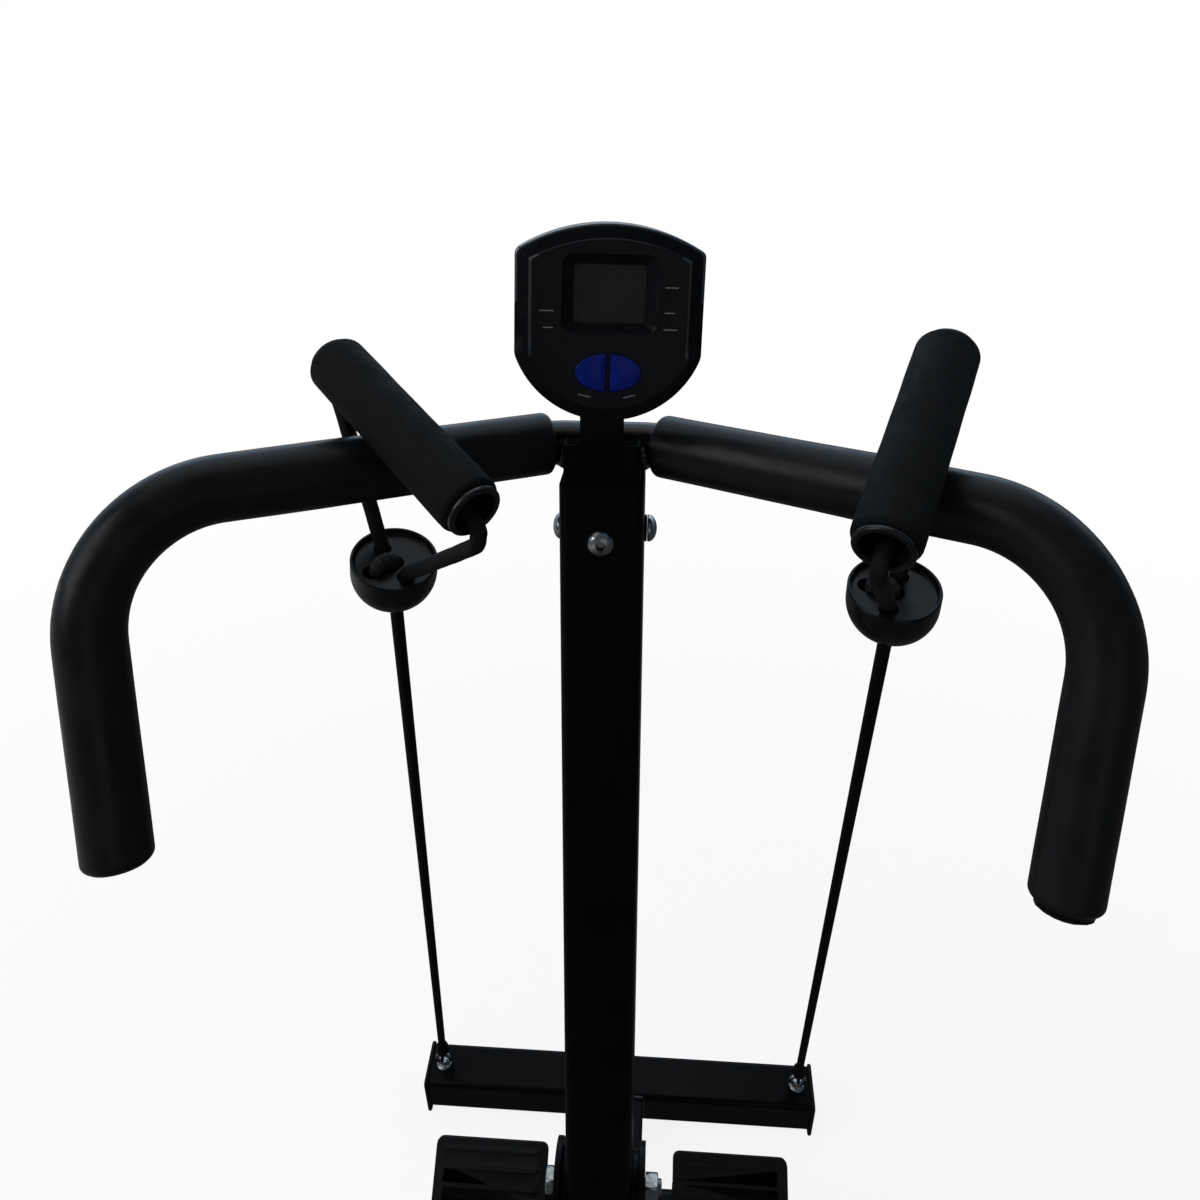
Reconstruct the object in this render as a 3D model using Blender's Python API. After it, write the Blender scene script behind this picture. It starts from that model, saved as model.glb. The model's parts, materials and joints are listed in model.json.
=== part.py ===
# Horse riding exercise machine: a floor frame, a leaning mast with a foam covered handlebar, a small
# console, two pull handles on elastic cords, and a saddle lever that the mast drives through a pin and slot.
# Metres, +Z up, +Y forward (away from the rider), +X to the rider's right, origin on the floor at the
# middle of the footprint.

import math

import bmesh
import bpy
from mathutils import Matrix, Vector

# Clearances
gap = 0.0003
hole_play = 0.0003
slot_play = 0.0006

# Floor frame
base_length = 1.000
stabilizer_size = 0.050
stabilizer_length = 0.450
stabilizer_corner = 0.006
tube_wall = 0.002
foot_height = 0.010
cap_flange = 0.004
cap_lip = 0.002
cap_depth = 0.018
rail_width = 0.060
rail_height = 0.040
rail_corner = 0.004

# Pivot brackets on the rail
bracket_thickness = 0.005
bracket_top_radius = 0.030
bracket_foot_radius = 0.012
bracket_foot_height = 0.034
bracket_foot_front = 0.040
bracket_foot_rear = 0.130
bracket_window_radius = 0.022
bracket_window_height = 0.240
bracket_window_back = 0.022
bolt_radius = 0.006
bolt_head_radius = 0.0105
bolt_head_height = 0.0075
bolt_end = 0.003
nut_height = 0.010

# Mast
bar_height = 1.000
lean = math.radians(12)
pivot_height = 0.400
anchor_ahead = 0.137
post_size = 0.050
post_corner = 0.005
post_below_pivot = 0.045
post_rim_below_bar = 0.017
bush_radius = 0.013
clamp_bolt_below_bar = 0.052

# Pedal lever under the mast
lever_thickness = 0.004
pin_below_pivot = 0.100
pin_radius = 0.005
pin_plate_radius = 0.018
pivot_plate_radius = 0.024
peg_forward = 0.138
peg_below = 0.216
peg_plate_radius = 0.022
peg_radius = 0.0127
peg_half_length = 0.172
pedal_inner = 0.062
pedal_width = 0.112
pedal_length = 0.095
pedal_plate = 0.008
pedal_sleeve_radius = 0.0185
pedal_slope = math.radians(35)
pedal_rib = 0.003
pedal_rib_count = 6

# Handlebar
bar_radius = 0.0135
bar_wall = 0.002
bar_sides = 16
bar_forward = 0.0060
bar_middle_half = 0.0214
bar_middle_bend = 0.0300
bar_sweep = 0.5808
bar_rise = 0.0228
bar_side_length = 0.2611
bar_corner_bend = 0.0693
bar_leg_inward = 0.1238
bar_leg_back = 0.2551
bar_leg_length = 0.1740
foam_radius = 0.0183
foam_start = 0.0334
foam_round = 0.004
stub_wall = 0.002
stub_depth = 0.110
stub_above_bar = 0.0075
weld_size = 0.0065
weld_low = 0.0010
plug_cap = 0.003
plug_depth = 0.015
button_head_radius = 0.0083
button_head_height = 0.0058
clamp_bolt_radius = 0.004
hex_socket_radius = 0.0026
hex_socket_depth = 0.003
washer_radius = 0.0083
washer_thickness = 0.0022
front_bolt_length = 0.014

# Console
console_centre = Vector((0.0048, -0.0343, 0.0928))
console_turn = math.radians(6.1)
console_tilt = math.radians(2.7)
console_roll = math.radians(1.5)
console_half_width = 0.0511
console_shoulder = 0.0270
console_apex = 0.0419
console_foot = 0.0290
console_bottom = 0.0652
console_rim = 0.0080
console_rise = 0.0060
console_skirt = 0.0030
console_depth = 0.0160
console_wall = 0.0018
console_edge = 0.0050
display_centre = 0.0046
recess_width = 0.0512
recess_height = 0.0416
glass_width = 0.0384
glass_height = 0.0310
glass_depth = 0.0035
lens_thickness = 0.0010
panel_thickness = 0.0025
board_width = 0.0740
board_height = 0.0660
board_thickness = 0.0016
board_centre = -0.0090
button_centre = -0.0374
button_width = 0.0358
button_height = 0.0205
button_gap = 0.0022
button_proud = 0.0024
button_travel = 0.0012
battery_width = 0.0400
battery_height = 0.0280
battery_centre = 0.0120
neck_centre = -0.0006
neck_width = 0.0258
neck_thickness = 0.0030
neck_top = 0.0850
neck_below_bar = 0.0140
boss_width = 0.0300
boss_height = 0.0300
boss_centre = -0.0330
boss_length = 0.0120

# Pull handles, in the handlebar's frame: the grip's near and far end, the middle of the cup's rim
# plane and the way the cup hangs
handle_places = {
    "left": ((-0.0577, -0.1162, 0.0037), (-0.1495, -0.0312, 0.0560), (-0.1239, -0.0295, -0.0641), (-0.167, 0.360, -0.918)),
    "right": ((0.1368, -0.1480, 0.0044), (0.1847, -0.0412, 0.0708), (0.1667, -0.0539, -0.0611), (0.045, 0.341, -0.939)),
}
grip_radius = 0.0169
grip_tube_radius = 0.0132
grip_bore_radius = 0.0115
grip_flange_radius = 0.0148
grip_flange = 0.0022
grip_flange_edge = 0.0006
grip_round = 0.0035
strap_radius = 0.0045
strap_bend = 0.0066
strap_wrap = 0.0008
strap_mouth_bend = 0.0060
strap_mouth_above = 0.0020
strap_in_cup = 0.0080
strap_hole_spread = 0.0135
cup_radius = 0.0260
cup_height = 0.0350
cup_rim = 0.0020
cup_recess = 0.0040
cup_wall_straight = 0.0100
rope_radius = 0.0044
cord_hole_radius = 0.0058
cord_cover = 0.0040
rope_hole_aside = 0.0155
rope_loop_height = 0.0030

# Cords and their lower ends
cord_radius = 0.0042
anchor_side = 0.210
eye_radius = 0.0080
eye_wire = 0.0025
eye_collar_radius = 0.0090
eye_collar_height = 0.0030
hook_radius = 0.0065
hook_wire = 0.0016
ferrule_radius = 0.0070
grip_foam_sides = {"left": 20, "right": 24}
ferrule_length = 0.030

# Saddle lever
seat_pivot_height = 0.130
seat_lever_size = 0.040
seat_lever_corner = 0.004
seat_behind_pivot = 0.450
seat_lever_front = 0.024
riser_length = 0.036
riser_width = 0.034
riser_corner = 0.003
riser_behind = 0.0036
lever_below_plate = 0.033
lever_bore_start = 0.023
seat_plate_height = 0.490
seat_plate_thickness = 0.004
seat_plate_width = 0.100
seat_plate_length = 0.150
tab_thickness = 0.012
tab_foot_radius = 0.024
tab_top_radius = 0.016
stop_distance = 0.085
stop_radius = 0.010
saddle_length = 0.290
saddle_width = 0.250
saddle_nose_width = 0.150
saddle_base_thickness = 0.012
saddle_thickness = 0.058
saddle_crown = 0.014
saddle_overhang = 0.012

# Places that follow from the sizes above
seat_lever_angle = math.atan2(seat_plate_height - seat_pivot_height - lever_below_plate, seat_behind_pivot)
stabilizer_y = base_length / 2 - stabilizer_size / 2
stabilizer_z = foot_height + stabilizer_size / 2
rail_top = foot_height + stabilizer_size
bar_y = stabilizer_y - anchor_ahead
bar_reach = (bar_height - pivot_height) / math.cos(lean)
pivot_y = bar_y - bar_reach * math.sin(lean)
bracket_inside = rail_width / 2 + gap
bracket_outside = bracket_inside + bracket_thickness
lever_inside = post_size / 2 + gap
lever_outside = lever_inside + lever_thickness
stub_size = post_size - 2 * tube_wall - 2 * gap
pin_y = pivot_y - pin_below_pivot * math.sin(lean)
pin_z = pivot_height - pin_below_pivot * math.cos(lean)
pin_reach_rest = math.hypot(pin_y - pivot_y, pin_z - seat_pivot_height)
pin_reach_middle = pivot_height - pin_below_pivot - seat_pivot_height
eye_z = rail_top + gap + eye_collar_height + eye_radius
neck_face = bar_forward - bar_radius - gap


def clear_scene():
    for old in list(bpy.data.objects):
        bpy.data.objects.remove(old, do_unlink=True)


def material(name, colour, roughness, metallic=0.0):
    made = bpy.data.materials.new(name)
    made.use_nodes = True
    shader = made.node_tree.nodes["Principled BSDF"]
    shader.inputs["Base Color"].default_value = (*colour, 1.0)
    shader.inputs["Roughness"].default_value = roughness
    shader.inputs["Metallic"].default_value = metallic
    made.diffuse_color = (*colour, 1.0)
    return made


FINISHES = {
    "paint": ((0.010, 0.010, 0.012), 0.35, 0.0),
    "foam": ((0.012, 0.011, 0.013), 0.85, 0.0),
    "plastic": ((0.010, 0.010, 0.012), 0.45, 0.0),
    "gloss": ((0.006, 0.006, 0.008), 0.20, 0.0),
    "zinc": ((0.45, 0.47, 0.48), 0.35, 1.0),
    "blue": ((0.010, 0.012, 0.170), 0.35, 0.0),
    "display": ((0.060, 0.070, 0.045), 0.30, 0.0),
    "glass": ((0.30, 0.32, 0.30), 0.05, 0.0),
    "board": ((0.020, 0.080, 0.030), 0.50, 0.0),
    "cord": ((0.012, 0.012, 0.014), 0.70, 0.0),
    "vinyl": ((0.014, 0.014, 0.016), 0.50, 0.0),
    "rubber": ((0.012, 0.012, 0.012), 0.80, 0.0),
}


def empty(name, location, rotation=(0, 0, 0), parent=None):
    made = bpy.data.objects.new(name, None)
    made.location = location
    made.rotation_euler = rotation
    made.parent = parent
    bpy.context.collection.objects.link(made)
    return made


def add(name, bm, finish, parent=None, sharp=35):
    bmesh.ops.recalc_face_normals(bm, faces=bm.faces)
    if bm.calc_volume(signed=True) < 0:
        bmesh.ops.reverse_faces(bm, faces=bm.faces)
    mesh = bpy.data.meshes.new(name)
    bm.to_mesh(mesh)
    bm.free()
    mesh.shade_smooth()
    mesh.set_sharp_from_angle(angle=math.radians(sharp))
    made = bpy.data.objects.new(name, mesh)
    made.parent = parent
    bpy.context.collection.objects.link(made)
    if finish:
        mesh.materials.append(material(name, *FINISHES[finish]))
    return made


def combine(target, tool, operation):
    step = target.modifiers.new(operation.lower(), "BOOLEAN")
    step.operation = operation
    step.solver = "EXACT"
    step.object = tool
    tool.hide_render = True
    tool.display_type = "WIRE"
    return target


def cut(target, bm, parent=None):
    return combine(target, add(target.name + "_cutter", bm, None, parent), "DIFFERENCE")


def join(target, bm, parent=None):
    return combine(target, add(target.name + "_addition", bm, None, parent), "UNION")


# Outlines, as lists of 2-D points

def arc(centre, radius, start, end, steps):
    return [
        (centre[0] + radius * math.cos(start + (end - start) * i / steps),
         centre[1] + radius * math.sin(start + (end - start) * i / steps))
        for i in range(steps + 1)
    ]


def circle(radius, steps, centre=(0, 0)):
    return arc(centre, radius, 0, math.tau, steps)[:-1]


def rounded_rectangle(width, height, radius, centre=(0, 0), steps=3):
    points = []
    for quarter, (side, level) in enumerate(((1, 1), (-1, 1), (-1, -1), (1, -1))):
        corner = (centre[0] + side * (width / 2 - radius), centre[1] + level * (height / 2 - radius))
        points += arc(corner, radius, quarter * math.pi / 2, (quarter + 1) * math.pi / 2, steps)
    return points


def hull(circles, steps=24):
    """The outline of a band stretched round circles given as (u, v, radius)."""
    points = []
    for u, v, radius in circles:
        points += circle(radius, steps, (u, v))
    points.sort()

    def half(ordered):
        side = []
        for p in ordered:
            while len(side) > 1 and (
                (side[-1][0] - side[-2][0]) * (p[1] - side[-2][1])
                - (side[-1][1] - side[-2][1]) * (p[0] - side[-2][0])
            ) <= 1e-12:
                side.pop()
            side.append(p)
        return side[:-1]

    return half(points) + half(points[::-1])


# Solids, as bmeshes

def at(axis, u, v, level):
    return {"X": (level, u, v), "Y": (u, level, v), "Z": (u, v, level)}[axis]


def prism(outline, start, end, axis="Z", bore=None):
    bm = bmesh.new()
    rings = []
    for loop in (outline, bore):
        if loop:
            rings.append([[bm.verts.new(at(axis, u, v, level)) for u, v in loop] for level in (start, end)])
    for low, high in rings:
        bridge(bm, low, high)
    if bore:
        bridge(bm, rings[0][0], rings[1][0])
        bridge(bm, rings[0][1], rings[1][1])
    else:
        bm.faces.new(rings[0][0])
        bm.faces.new(rings[0][1])
    return bm


def bridge(bm, one, other):
    count = len(one)
    for i in range(count):
        j = (i + 1) % count
        bm.faces.new((one[i], one[j], other[j], other[i]))


def loft(levels, axis="Y"):
    """A closed solid through outlines of equal length, given as (level, outline)."""
    bm = bmesh.new()
    rings = [[bm.verts.new(at(axis, u, v, level)) for u, v in outline] for level, outline in levels]
    for one, other in zip(rings, rings[1:]):
        bridge(bm, one, other)
    bm.faces.new(rings[0])
    bm.faces.new(rings[-1])
    return bm


def block(size, centre, radius=0.0):
    x, y, z = centre
    if radius:
        outline = rounded_rectangle(size[0], size[1], radius, (x, y))
    else:
        outline = [(x + i * size[0] / 2, y + j * size[1] / 2) for i, j in ((1, 1), (-1, 1), (-1, -1), (1, -1))]
    return prism(outline, z - size[2] / 2, z + size[2] / 2)


def turned(profile, sides, axis="Z", closed=False):
    """Revolves (radius, level) points; a point with no radius closes an end."""
    bm = bmesh.new()
    rings = []
    for radius, level in profile:
        if radius == 0:
            rings.append([bm.verts.new(at(axis, 0, 0, level))])
        else:
            rings.append([bm.verts.new(at(axis, u, v, level)) for u, v in circle(radius, sides)])
    pairs = list(zip(rings, rings[1:]))
    if closed:
        pairs.append((rings[-1], rings[0]))
    for one, other in pairs:
        if len(one) == 1 or len(other) == 1:
            pole, ring = (one[0], other) if len(one) == 1 else (other[0], one)
            for i in range(sides):
                bm.faces.new((pole, ring[i], ring[(i + 1) % sides]))
        else:
            bridge(bm, one, other)
    return bm


def rod(radius, start, end, axis="Z", sides=16, centre=(0, 0)):
    return prism(circle(radius, sides, centre), start, end, axis)


def ring(radius, wire, sides, wire_sides, axis="Z"):
    profile = [(radius + u, v) for u, v in circle(wire, wire_sides)]
    return turned(profile, sides, axis, closed=True)


def moved(bm, matrix):
    bmesh.ops.transform(bm, matrix=matrix, verts=bm.verts)
    return bm


def merged(first, *others):
    """Puts several solids that don't touch into one mesh, for a cutter with many bodies."""
    for other in others:
        mesh = bpy.data.meshes.new("part")
        other.to_mesh(mesh)
        other.free()
        first.from_mesh(mesh)
        bpy.data.meshes.remove(mesh)
    return first


# Paths for bent tubes

def filleted(corners, radii, step=math.radians(12)):
    """The corners joined by straight runs, with an arc of the given radius at each inner corner."""
    path = [corners[0]]
    for i, radius in enumerate(radii, 1):
        before = (corners[i] - corners[i - 1]).normalized()
        after = (corners[i + 1] - corners[i]).normalized()
        angle = before.angle(after)
        start = corners[i] - before * radius * math.tan(angle / 2)
        inward = (after - before * before.dot(after)).normalized()
        count = max(2, round(angle / step))
        for k in range(count + 1):
            turn = angle * k / count
            path.append(start + before * radius * math.sin(turn) + inward * radius * (1 - math.cos(turn)))
    path.append(corners[-1])
    return path


def length_of(path):
    return sum((b - a).length for a, b in zip(path, path[1:]))


def part_of_path(path, start, end, extra=()):
    """The stretch of the path between two distances along it, with extra points at other distances."""
    stops = sorted([start, end, *extra])
    made, travelled = [], 0.0
    for a, b in zip(path, path[1:]):
        run = (b - a).length
        inside = [s for s in stops if travelled <= s < travelled + run]
        if start < travelled < end:
            made.append(a)
        made += [a.lerp(b, (s - travelled) / run) for s in inside if s - travelled > 1e-7]
        if start == travelled:
            made.append(a)
        travelled += run
    if end >= travelled - 1e-9:
        made.append(path[-1])
    return made


def frames_along(path, normal):
    """At each point the two directions across the path, turned no more than the path turns."""
    made = []
    across = normal
    for i, p in enumerate(path):
        before = (p - path[i - 1]).normalized() if i else None
        after = (path[i + 1] - p).normalized() if i < len(path) - 1 else None
        along = ((before or after) + (after or before)).normalized()
        across = (across - along * across.dot(along)).normalized()
        made.append((across.copy(), along.cross(across)))
    return made


def swept(path, radii, sides, normal, bore=None):
    """A tube or rod of round section along a path; bore is the inner radius of a tube open at its ends."""
    bm = bmesh.new()
    frames = frames_along(path, normal)
    sets = [radii] if bore is None else [radii, [bore] * len(path)]
    skins = []
    for values in sets:
        skins.append([
            [bm.verts.new(p + (one * u + two * v)) for u, v in circle(value, sides)]
            for p, (one, two), value in zip(path, frames, values)
        ])
    for skin in skins:
        for one, other in zip(skin, skin[1:]):
            bridge(bm, one, other)
    if bore is None:
        bm.faces.new(skins[0][0])
        bm.faces.new(skins[0][-1])
    else:
        bridge(bm, skins[0][0], skins[1][0])
        bridge(bm, skins[0][-1], skins[1][-1])
    return bm


def frame_matrix(origin, forward, up):
    """A frame with +Y forward and +Z as near to up as it can be."""
    y = forward.normalized()
    x = y.cross(up).normalized()
    z = x.cross(y)
    return Matrix((x, y, z)).transposed().to_4x4() if origin is None else (
        Matrix.Translation(origin) @ Matrix((x, y, z)).transposed().to_4x4())


def set_frame(holder, matrix):
    holder.matrix_basis = matrix


# Floor frame

def square_tube(size, corner, start, end, axis, centre=(0, 0), wall=tube_wall):
    outer = rounded_rectangle(size, size, corner, centre)
    inner = rounded_rectangle(size - 2 * wall, size - 2 * wall, corner - wall / 2, centre)
    return prism(outer, start, end, axis, inner)


def stabilizer(name, y):
    half = stabilizer_length / 2
    add(name, square_tube(stabilizer_size, stabilizer_corner, -half, half, "X", (y, stabilizer_z)), "paint")


def stabilizer_cap(name, side, y):
    """A plug in the tube's end with a flange that reaches the floor as a foot."""
    start = side * (stabilizer_length / 2 + gap)
    inside = stabilizer_size - 2 * tube_wall - 2 * gap
    flange_height = foot_height + stabilizer_size + cap_lip
    outline = rounded_rectangle(stabilizer_size + 2 * cap_lip, flange_height, stabilizer_corner, (y, flange_height / 2))
    cap = add(name, prism(outline, start, start + side * cap_flange, "X"), "rubber")
    plug = rounded_rectangle(inside, inside, stabilizer_corner - tube_wall / 2, (y, stabilizer_z))
    join(cap, prism(plug, start - side * cap_depth, start + side * cap_flange / 2, "X"))


def base_rail():
    reach = stabilizer_y - stabilizer_size / 2 - gap
    middle = (0, rail_top - rail_height / 2)
    outer = rounded_rectangle(rail_width, rail_height, rail_corner, middle)
    inner = rounded_rectangle(rail_width - 2 * tube_wall, rail_height - 2 * tube_wall, rail_corner - tube_wall / 2, middle)
    add("base_rail", prism(outer, -reach, reach, "Y", inner), "paint")


def pivot_bracket(name, side):
    foot = rail_top - rail_height + bracket_foot_height / 2
    outline = hull((
        (pivot_y, pivot_height, bracket_top_radius),
        (pivot_y + bracket_foot_front, foot, bracket_foot_radius),
        (pivot_y - bracket_foot_rear, foot, bracket_foot_radius),
    ))
    plate = add(name, prism(outline, side * bracket_inside, side * bracket_outside, "X"), "paint")
    reach = bracket_outside + gap
    holes = merged(
        rod(bolt_radius + hole_play, -reach, reach, "X", centre=(pivot_y, pivot_height)),
        rod(bolt_radius + hole_play, -reach, reach, "X", centre=(pivot_y, seat_pivot_height)),
        rod(bracket_window_radius, -reach, reach, "X", 24, (pivot_y - bracket_window_back, bracket_window_height)),
    )
    cut(plate, holes)


def pivot_bolt(name, z):
    head_at = bracket_outside + gap
    holder = empty(name + "_axis", (0, pivot_y, z))
    nut_end = head_at + nut_height
    bolt = add(name + "_bolt", prism(circle(bolt_head_radius, 6), -head_at - bolt_head_height, -head_at, "X"), "zinc", holder)
    join(bolt, rod(bolt_radius, -head_at - bolt_head_height / 2, nut_end + bolt_end, "X"), holder)
    bore = circle(bolt_radius + hole_play, 12)
    outside = [hexagon_point(bolt_head_radius, i / 12) for i in range(12)]
    add(name + "_nut", prism(outside, head_at, nut_end, "X", bore), "zinc", holder)


def hexagon_point(radius, share):
    """A point on a hexagon's edge, at a share of the way round."""
    side = share * 6
    first = math.tau / 6 * math.floor(side)
    a = Vector((math.cos(first), math.sin(first)))
    b = Vector((math.cos(first + math.tau / 6), math.sin(first + math.tau / 6)))
    p = a.lerp(b, side - math.floor(side)) * radius
    return (p.x, p.y)


def stop_bar():
    """The rubber covered bar between the brackets that the saddle lever rests on."""
    along = Vector((-math.cos(seat_lever_angle), math.sin(seat_lever_angle)))
    below = Vector((-math.sin(seat_lever_angle), -math.cos(seat_lever_angle)))
    off = seat_lever_size / 2 + gap + stop_radius
    place = Vector((pivot_y, seat_pivot_height)) + along * stop_distance + below * off
    reach = bracket_inside - gap
    add("stop_bar", rod(stop_radius, -reach, reach, "X", centre=place), "rubber")


def cord_line(side):
    """Where the cord's axis passes the eye, and the way up the cord."""
    low = Vector((side * anchor_side, stabilizer_y, eye_z + eye_radius - eye_wire - hook_wire - 2 * gap))
    return low, (cord_aim(side) - low).normalized()


def cord_eye(name, side):
    holder = empty(name + "_place", (side * anchor_side, stabilizer_y, eye_z))
    eye = add(name, ring(eye_radius, eye_wire, 20, 8, "Y"), "zinc", holder)
    low = -eye_radius - eye_collar_height
    join(eye, turned(((0, low), (eye_collar_radius, low), (eye_collar_radius, low + eye_collar_height - eye_wire / 2),
                      (0, low + eye_collar_height - eye_wire / 2)), 16), holder)


def cord_hook(name, side):
    low, up = cord_line(side)
    holder = empty(name + "_place", (0, 0, 0))
    set_frame(holder, Matrix.Translation(low) @ up_frame(up))
    hook = add(name, moved(ring(hook_radius, hook_wire, 20, 8, "X"), Matrix.Translation((0, 0, hook_radius))), "plastic", holder)
    start = 2 * hook_radius - hook_wire
    profile = (
        (0, start), (ferrule_radius * 0.55, start), (ferrule_radius, start + ferrule_length * 0.3),
        (ferrule_radius, start + ferrule_length * 0.8), (ferrule_radius * 0.8, start + ferrule_length), (0, start + ferrule_length),
    )
    join(hook, turned(profile, 16), holder)


def up_frame(up):
    """A rotation whose +Z is the given direction and whose +Y stays near the world's."""
    x = Vector((0, 1, 0)).cross(up).normalized()
    return Matrix((x, up.cross(x), up)).transposed().to_4x4()


# Mast, in its own frame: origin on the pivot, +Z along the post

def post(mast):
    top = bar_reach - post_rim_below_bar
    tube = add("mast_post", square_tube(post_size, post_corner, -post_below_pivot, top, "Z"), "paint", mast)
    reach = post_size
    bolts = bar_reach - clamp_bolt_below_bar
    cut(tube, rod(bush_radius - gap, -reach, reach, "X", 20), mast)
    join(tube, bush(), mast)
    clearance = clamp_bolt_radius + hole_play
    cut(tube, rod(clearance, -reach, reach, "X", 12, (0, bolts)), mast)
    cut(tube, rod(clearance, -reach, 0, "Y", 12, (0, bolts)), mast)


def bush():
    """The pivot tube that fills the space between the brackets."""
    reach = bracket_inside - gap
    return prism(circle(bush_radius, 20), -reach, reach, "X", circle(bolt_radius + hole_play, 20))


def lever_plate(name, side, mast):
    """One of the two bent plates that carry the drive pin and the pedal bar below the pivot."""
    pin = (0, -pin_below_pivot)
    peg = (peg_forward, -peg_below)
    inner, outer = side * lever_inside, side * lever_outside
    plate = add(name, prism(hull(((0, 0, pivot_plate_radius), (*pin, pin_plate_radius))), inner, outer, "X"), "paint", mast)
    join(plate, prism(hull(((*pin, pin_plate_radius), (*peg, peg_plate_radius))), inner, outer, "X"), mast)
    reach = bracket_inside
    holes = merged(
        rod(bush_radius + gap, -reach, reach, "X", 20),
        rod(pin_radius + hole_play, -reach, reach, "X", 16, pin),
        rod(peg_radius + gap, -reach, reach, "X", 20, peg),
    )
    cut(plate, holes, mast)


def drive_pin(mast):
    add("drive_pin", rod(pin_radius, -lever_outside, lever_outside, "X", 16, (0, -pin_below_pivot)), "zinc", mast)


def peg_bar(mast):
    outer = circle(peg_radius, 20, (peg_forward, -peg_below))
    inner = circle(peg_radius - tube_wall, 20, (peg_forward, -peg_below))
    add("peg_bar", prism(outer, -peg_half_length, peg_half_length, "X", inner), "paint", mast)


def pedal(name, side, holder):
    """A foot pedal: a sleeve on the bar, a ribbed plate facing the rider and a closed outer end."""
    start = side * pedal_inner
    end = side * (pedal_inner + pedal_width)
    body = add(name, rod(pedal_sleeve_radius, start, end, "X", 24), "plastic", holder)
    face = pedal_sleeve_radius - pedal_plate / 2
    middle = side * (pedal_inner + pedal_width / 2)
    join(body, block((pedal_width, pedal_length, pedal_plate), (middle, 0, face), 0.006), holder)
    pitch = (pedal_length - 0.018) / (pedal_rib_count - 1)
    ribs = [
        block((pedal_width - 0.020, pedal_rib, 2 * pedal_rib), (middle, (i - (pedal_rib_count - 1) / 2) * pitch, face + pedal_plate / 2))
        for i in range(pedal_rib_count)
    ]
    join(body, merged(*ribs), holder)
    cut(body, rod(peg_radius + gap, start - side * gap, side * (peg_half_length + gap), "X", 20), holder)


# Handlebar, in the bar's frame: origin at the middle of the tube, +Z along the post

def bar_half():
    """The right half of the bar's centre line, from the middle to the end of the leg."""
    side = Vector((
        math.cos(bar_sweep) * math.cos(bar_rise),
        -math.sin(bar_sweep) * math.cos(bar_rise),
        math.sin(bar_rise),
    ))
    leg = Vector((
        -math.sin(bar_leg_inward) * math.cos(bar_leg_back),
        -math.sin(bar_leg_back),
        -math.cos(bar_leg_inward) * math.cos(bar_leg_back),
    ))
    first = Vector((bar_middle_half + bar_middle_bend * math.tan(bar_sweep / 2), bar_forward, 0))
    second = first + side * bar_side_length
    third = second + leg * bar_leg_length
    path = filleted([Vector((0, bar_forward, 0)), first, second, third], [bar_middle_bend, bar_corner_bend])
    stations = part_of_path(path, 0, length_of(path), [foam_start])
    return stations


def mirrored(path):
    return [Vector((-p.x, p.y, p.z)) for p in path]


def handlebar(bar):
    half = bar_half()
    whole = mirrored(half)[:0:-1] + half[1:]
    whole = part_of_path(whole, 0, length_of(whole))
    up = Vector((0, 0, 1))
    tube = add("handlebar", swept(whole, [bar_radius] * len(whole), bar_sides, up), "paint", bar)
    stub = square_tube(stub_size, post_corner - tube_wall / 2, -stub_depth, stub_above_bar, "Z", wall=stub_wall)
    join(tube, stub, bar)
    for side in (-1, 1):
        join(tube, weld(side), bar)
    start, end = ((a - b).normalized() * plug_depth for a, b in ((whole[0], whole[1]), (whole[-1], whole[-2])))
    longer = [whole[0] + start, *whole, whole[-1] + end]
    cut(tube, swept(longer, [bar_radius - bar_wall] * len(longer), bar_sides, up), bar)
    clearance = clamp_bolt_radius + hole_play
    cut(tube, rod(clearance, -stub_size, stub_size, "X", 12, (0, -clamp_bolt_below_bar)), bar)
    cut(tube, rod(clearance, -stub_size, 0, "Y", 12, (0, -clamp_bolt_below_bar)), bar)


def weld(side):
    """Half a cone under the tube, where it leaves the stub's side wall."""
    levels = []
    start = stub_size / 2 - stub_wall / 2
    widest = post_rim_below_bar - weld_low - 2 * gap
    for x, radius in ((start, widest), (stub_size / 2, widest), (stub_size / 2 + weld_size, bar_radius - bar_wall / 2)):
        levels.append((side * x, arc((bar_forward, -weld_low), radius, math.pi, math.tau, 10)))
    return loft(levels, "X")


def bar_foam(name, side, bar):
    half = bar_half() if side > 0 else mirrored(bar_half())
    total = length_of(half)
    steps = [(0.0, foam_round), (0.3 * foam_round, 0.45 * foam_round), (foam_round, 0.0)]
    extra = [foam_start + s for s, _ in steps] + [total - s for s, _ in steps]
    path = part_of_path(half, foam_start, total, extra[1:3] + extra[4:])
    travelled, radii = foam_start, []
    for i, p in enumerate(path):
        travelled += (p - path[i - 1]).length if i else 0.0
        nearest = min(travelled - foam_start, total - travelled)
        radii.append(foam_radius - corner_drop(nearest))
    add(name, swept(path, radii, bar_sides, Vector((0, 0, 1)), bar_radius + gap), "foam", bar)


def corner_drop(distance):
    """How far a rounded end lies below the full radius, at a distance from the end face."""
    if distance >= foam_round - 1e-6:
        return 0.0
    left = foam_round - distance
    return foam_round - math.sqrt(max(foam_round ** 2 - left ** 2, 0.0))


def bar_plug(name, side, bar):
    half = bar_half() if side > 0 else mirrored(bar_half())
    out = (half[-1] - half[-2]).normalized()
    holder = empty(name + "_place", (0, 0, 0), parent=bar)
    set_frame(holder, Matrix.Translation(half[-1]) @ up_frame(out))
    inside = bar_radius - bar_wall - gap
    profile = (
        (0, -plug_depth), (inside, -plug_depth), (inside, gap), (bar_radius, gap), (bar_radius, plug_cap * 0.5),
        (bar_radius * 0.8, plug_cap), (0, plug_cap),
    )
    add(name, turned(profile, bar_sides), "plastic", holder)


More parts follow.
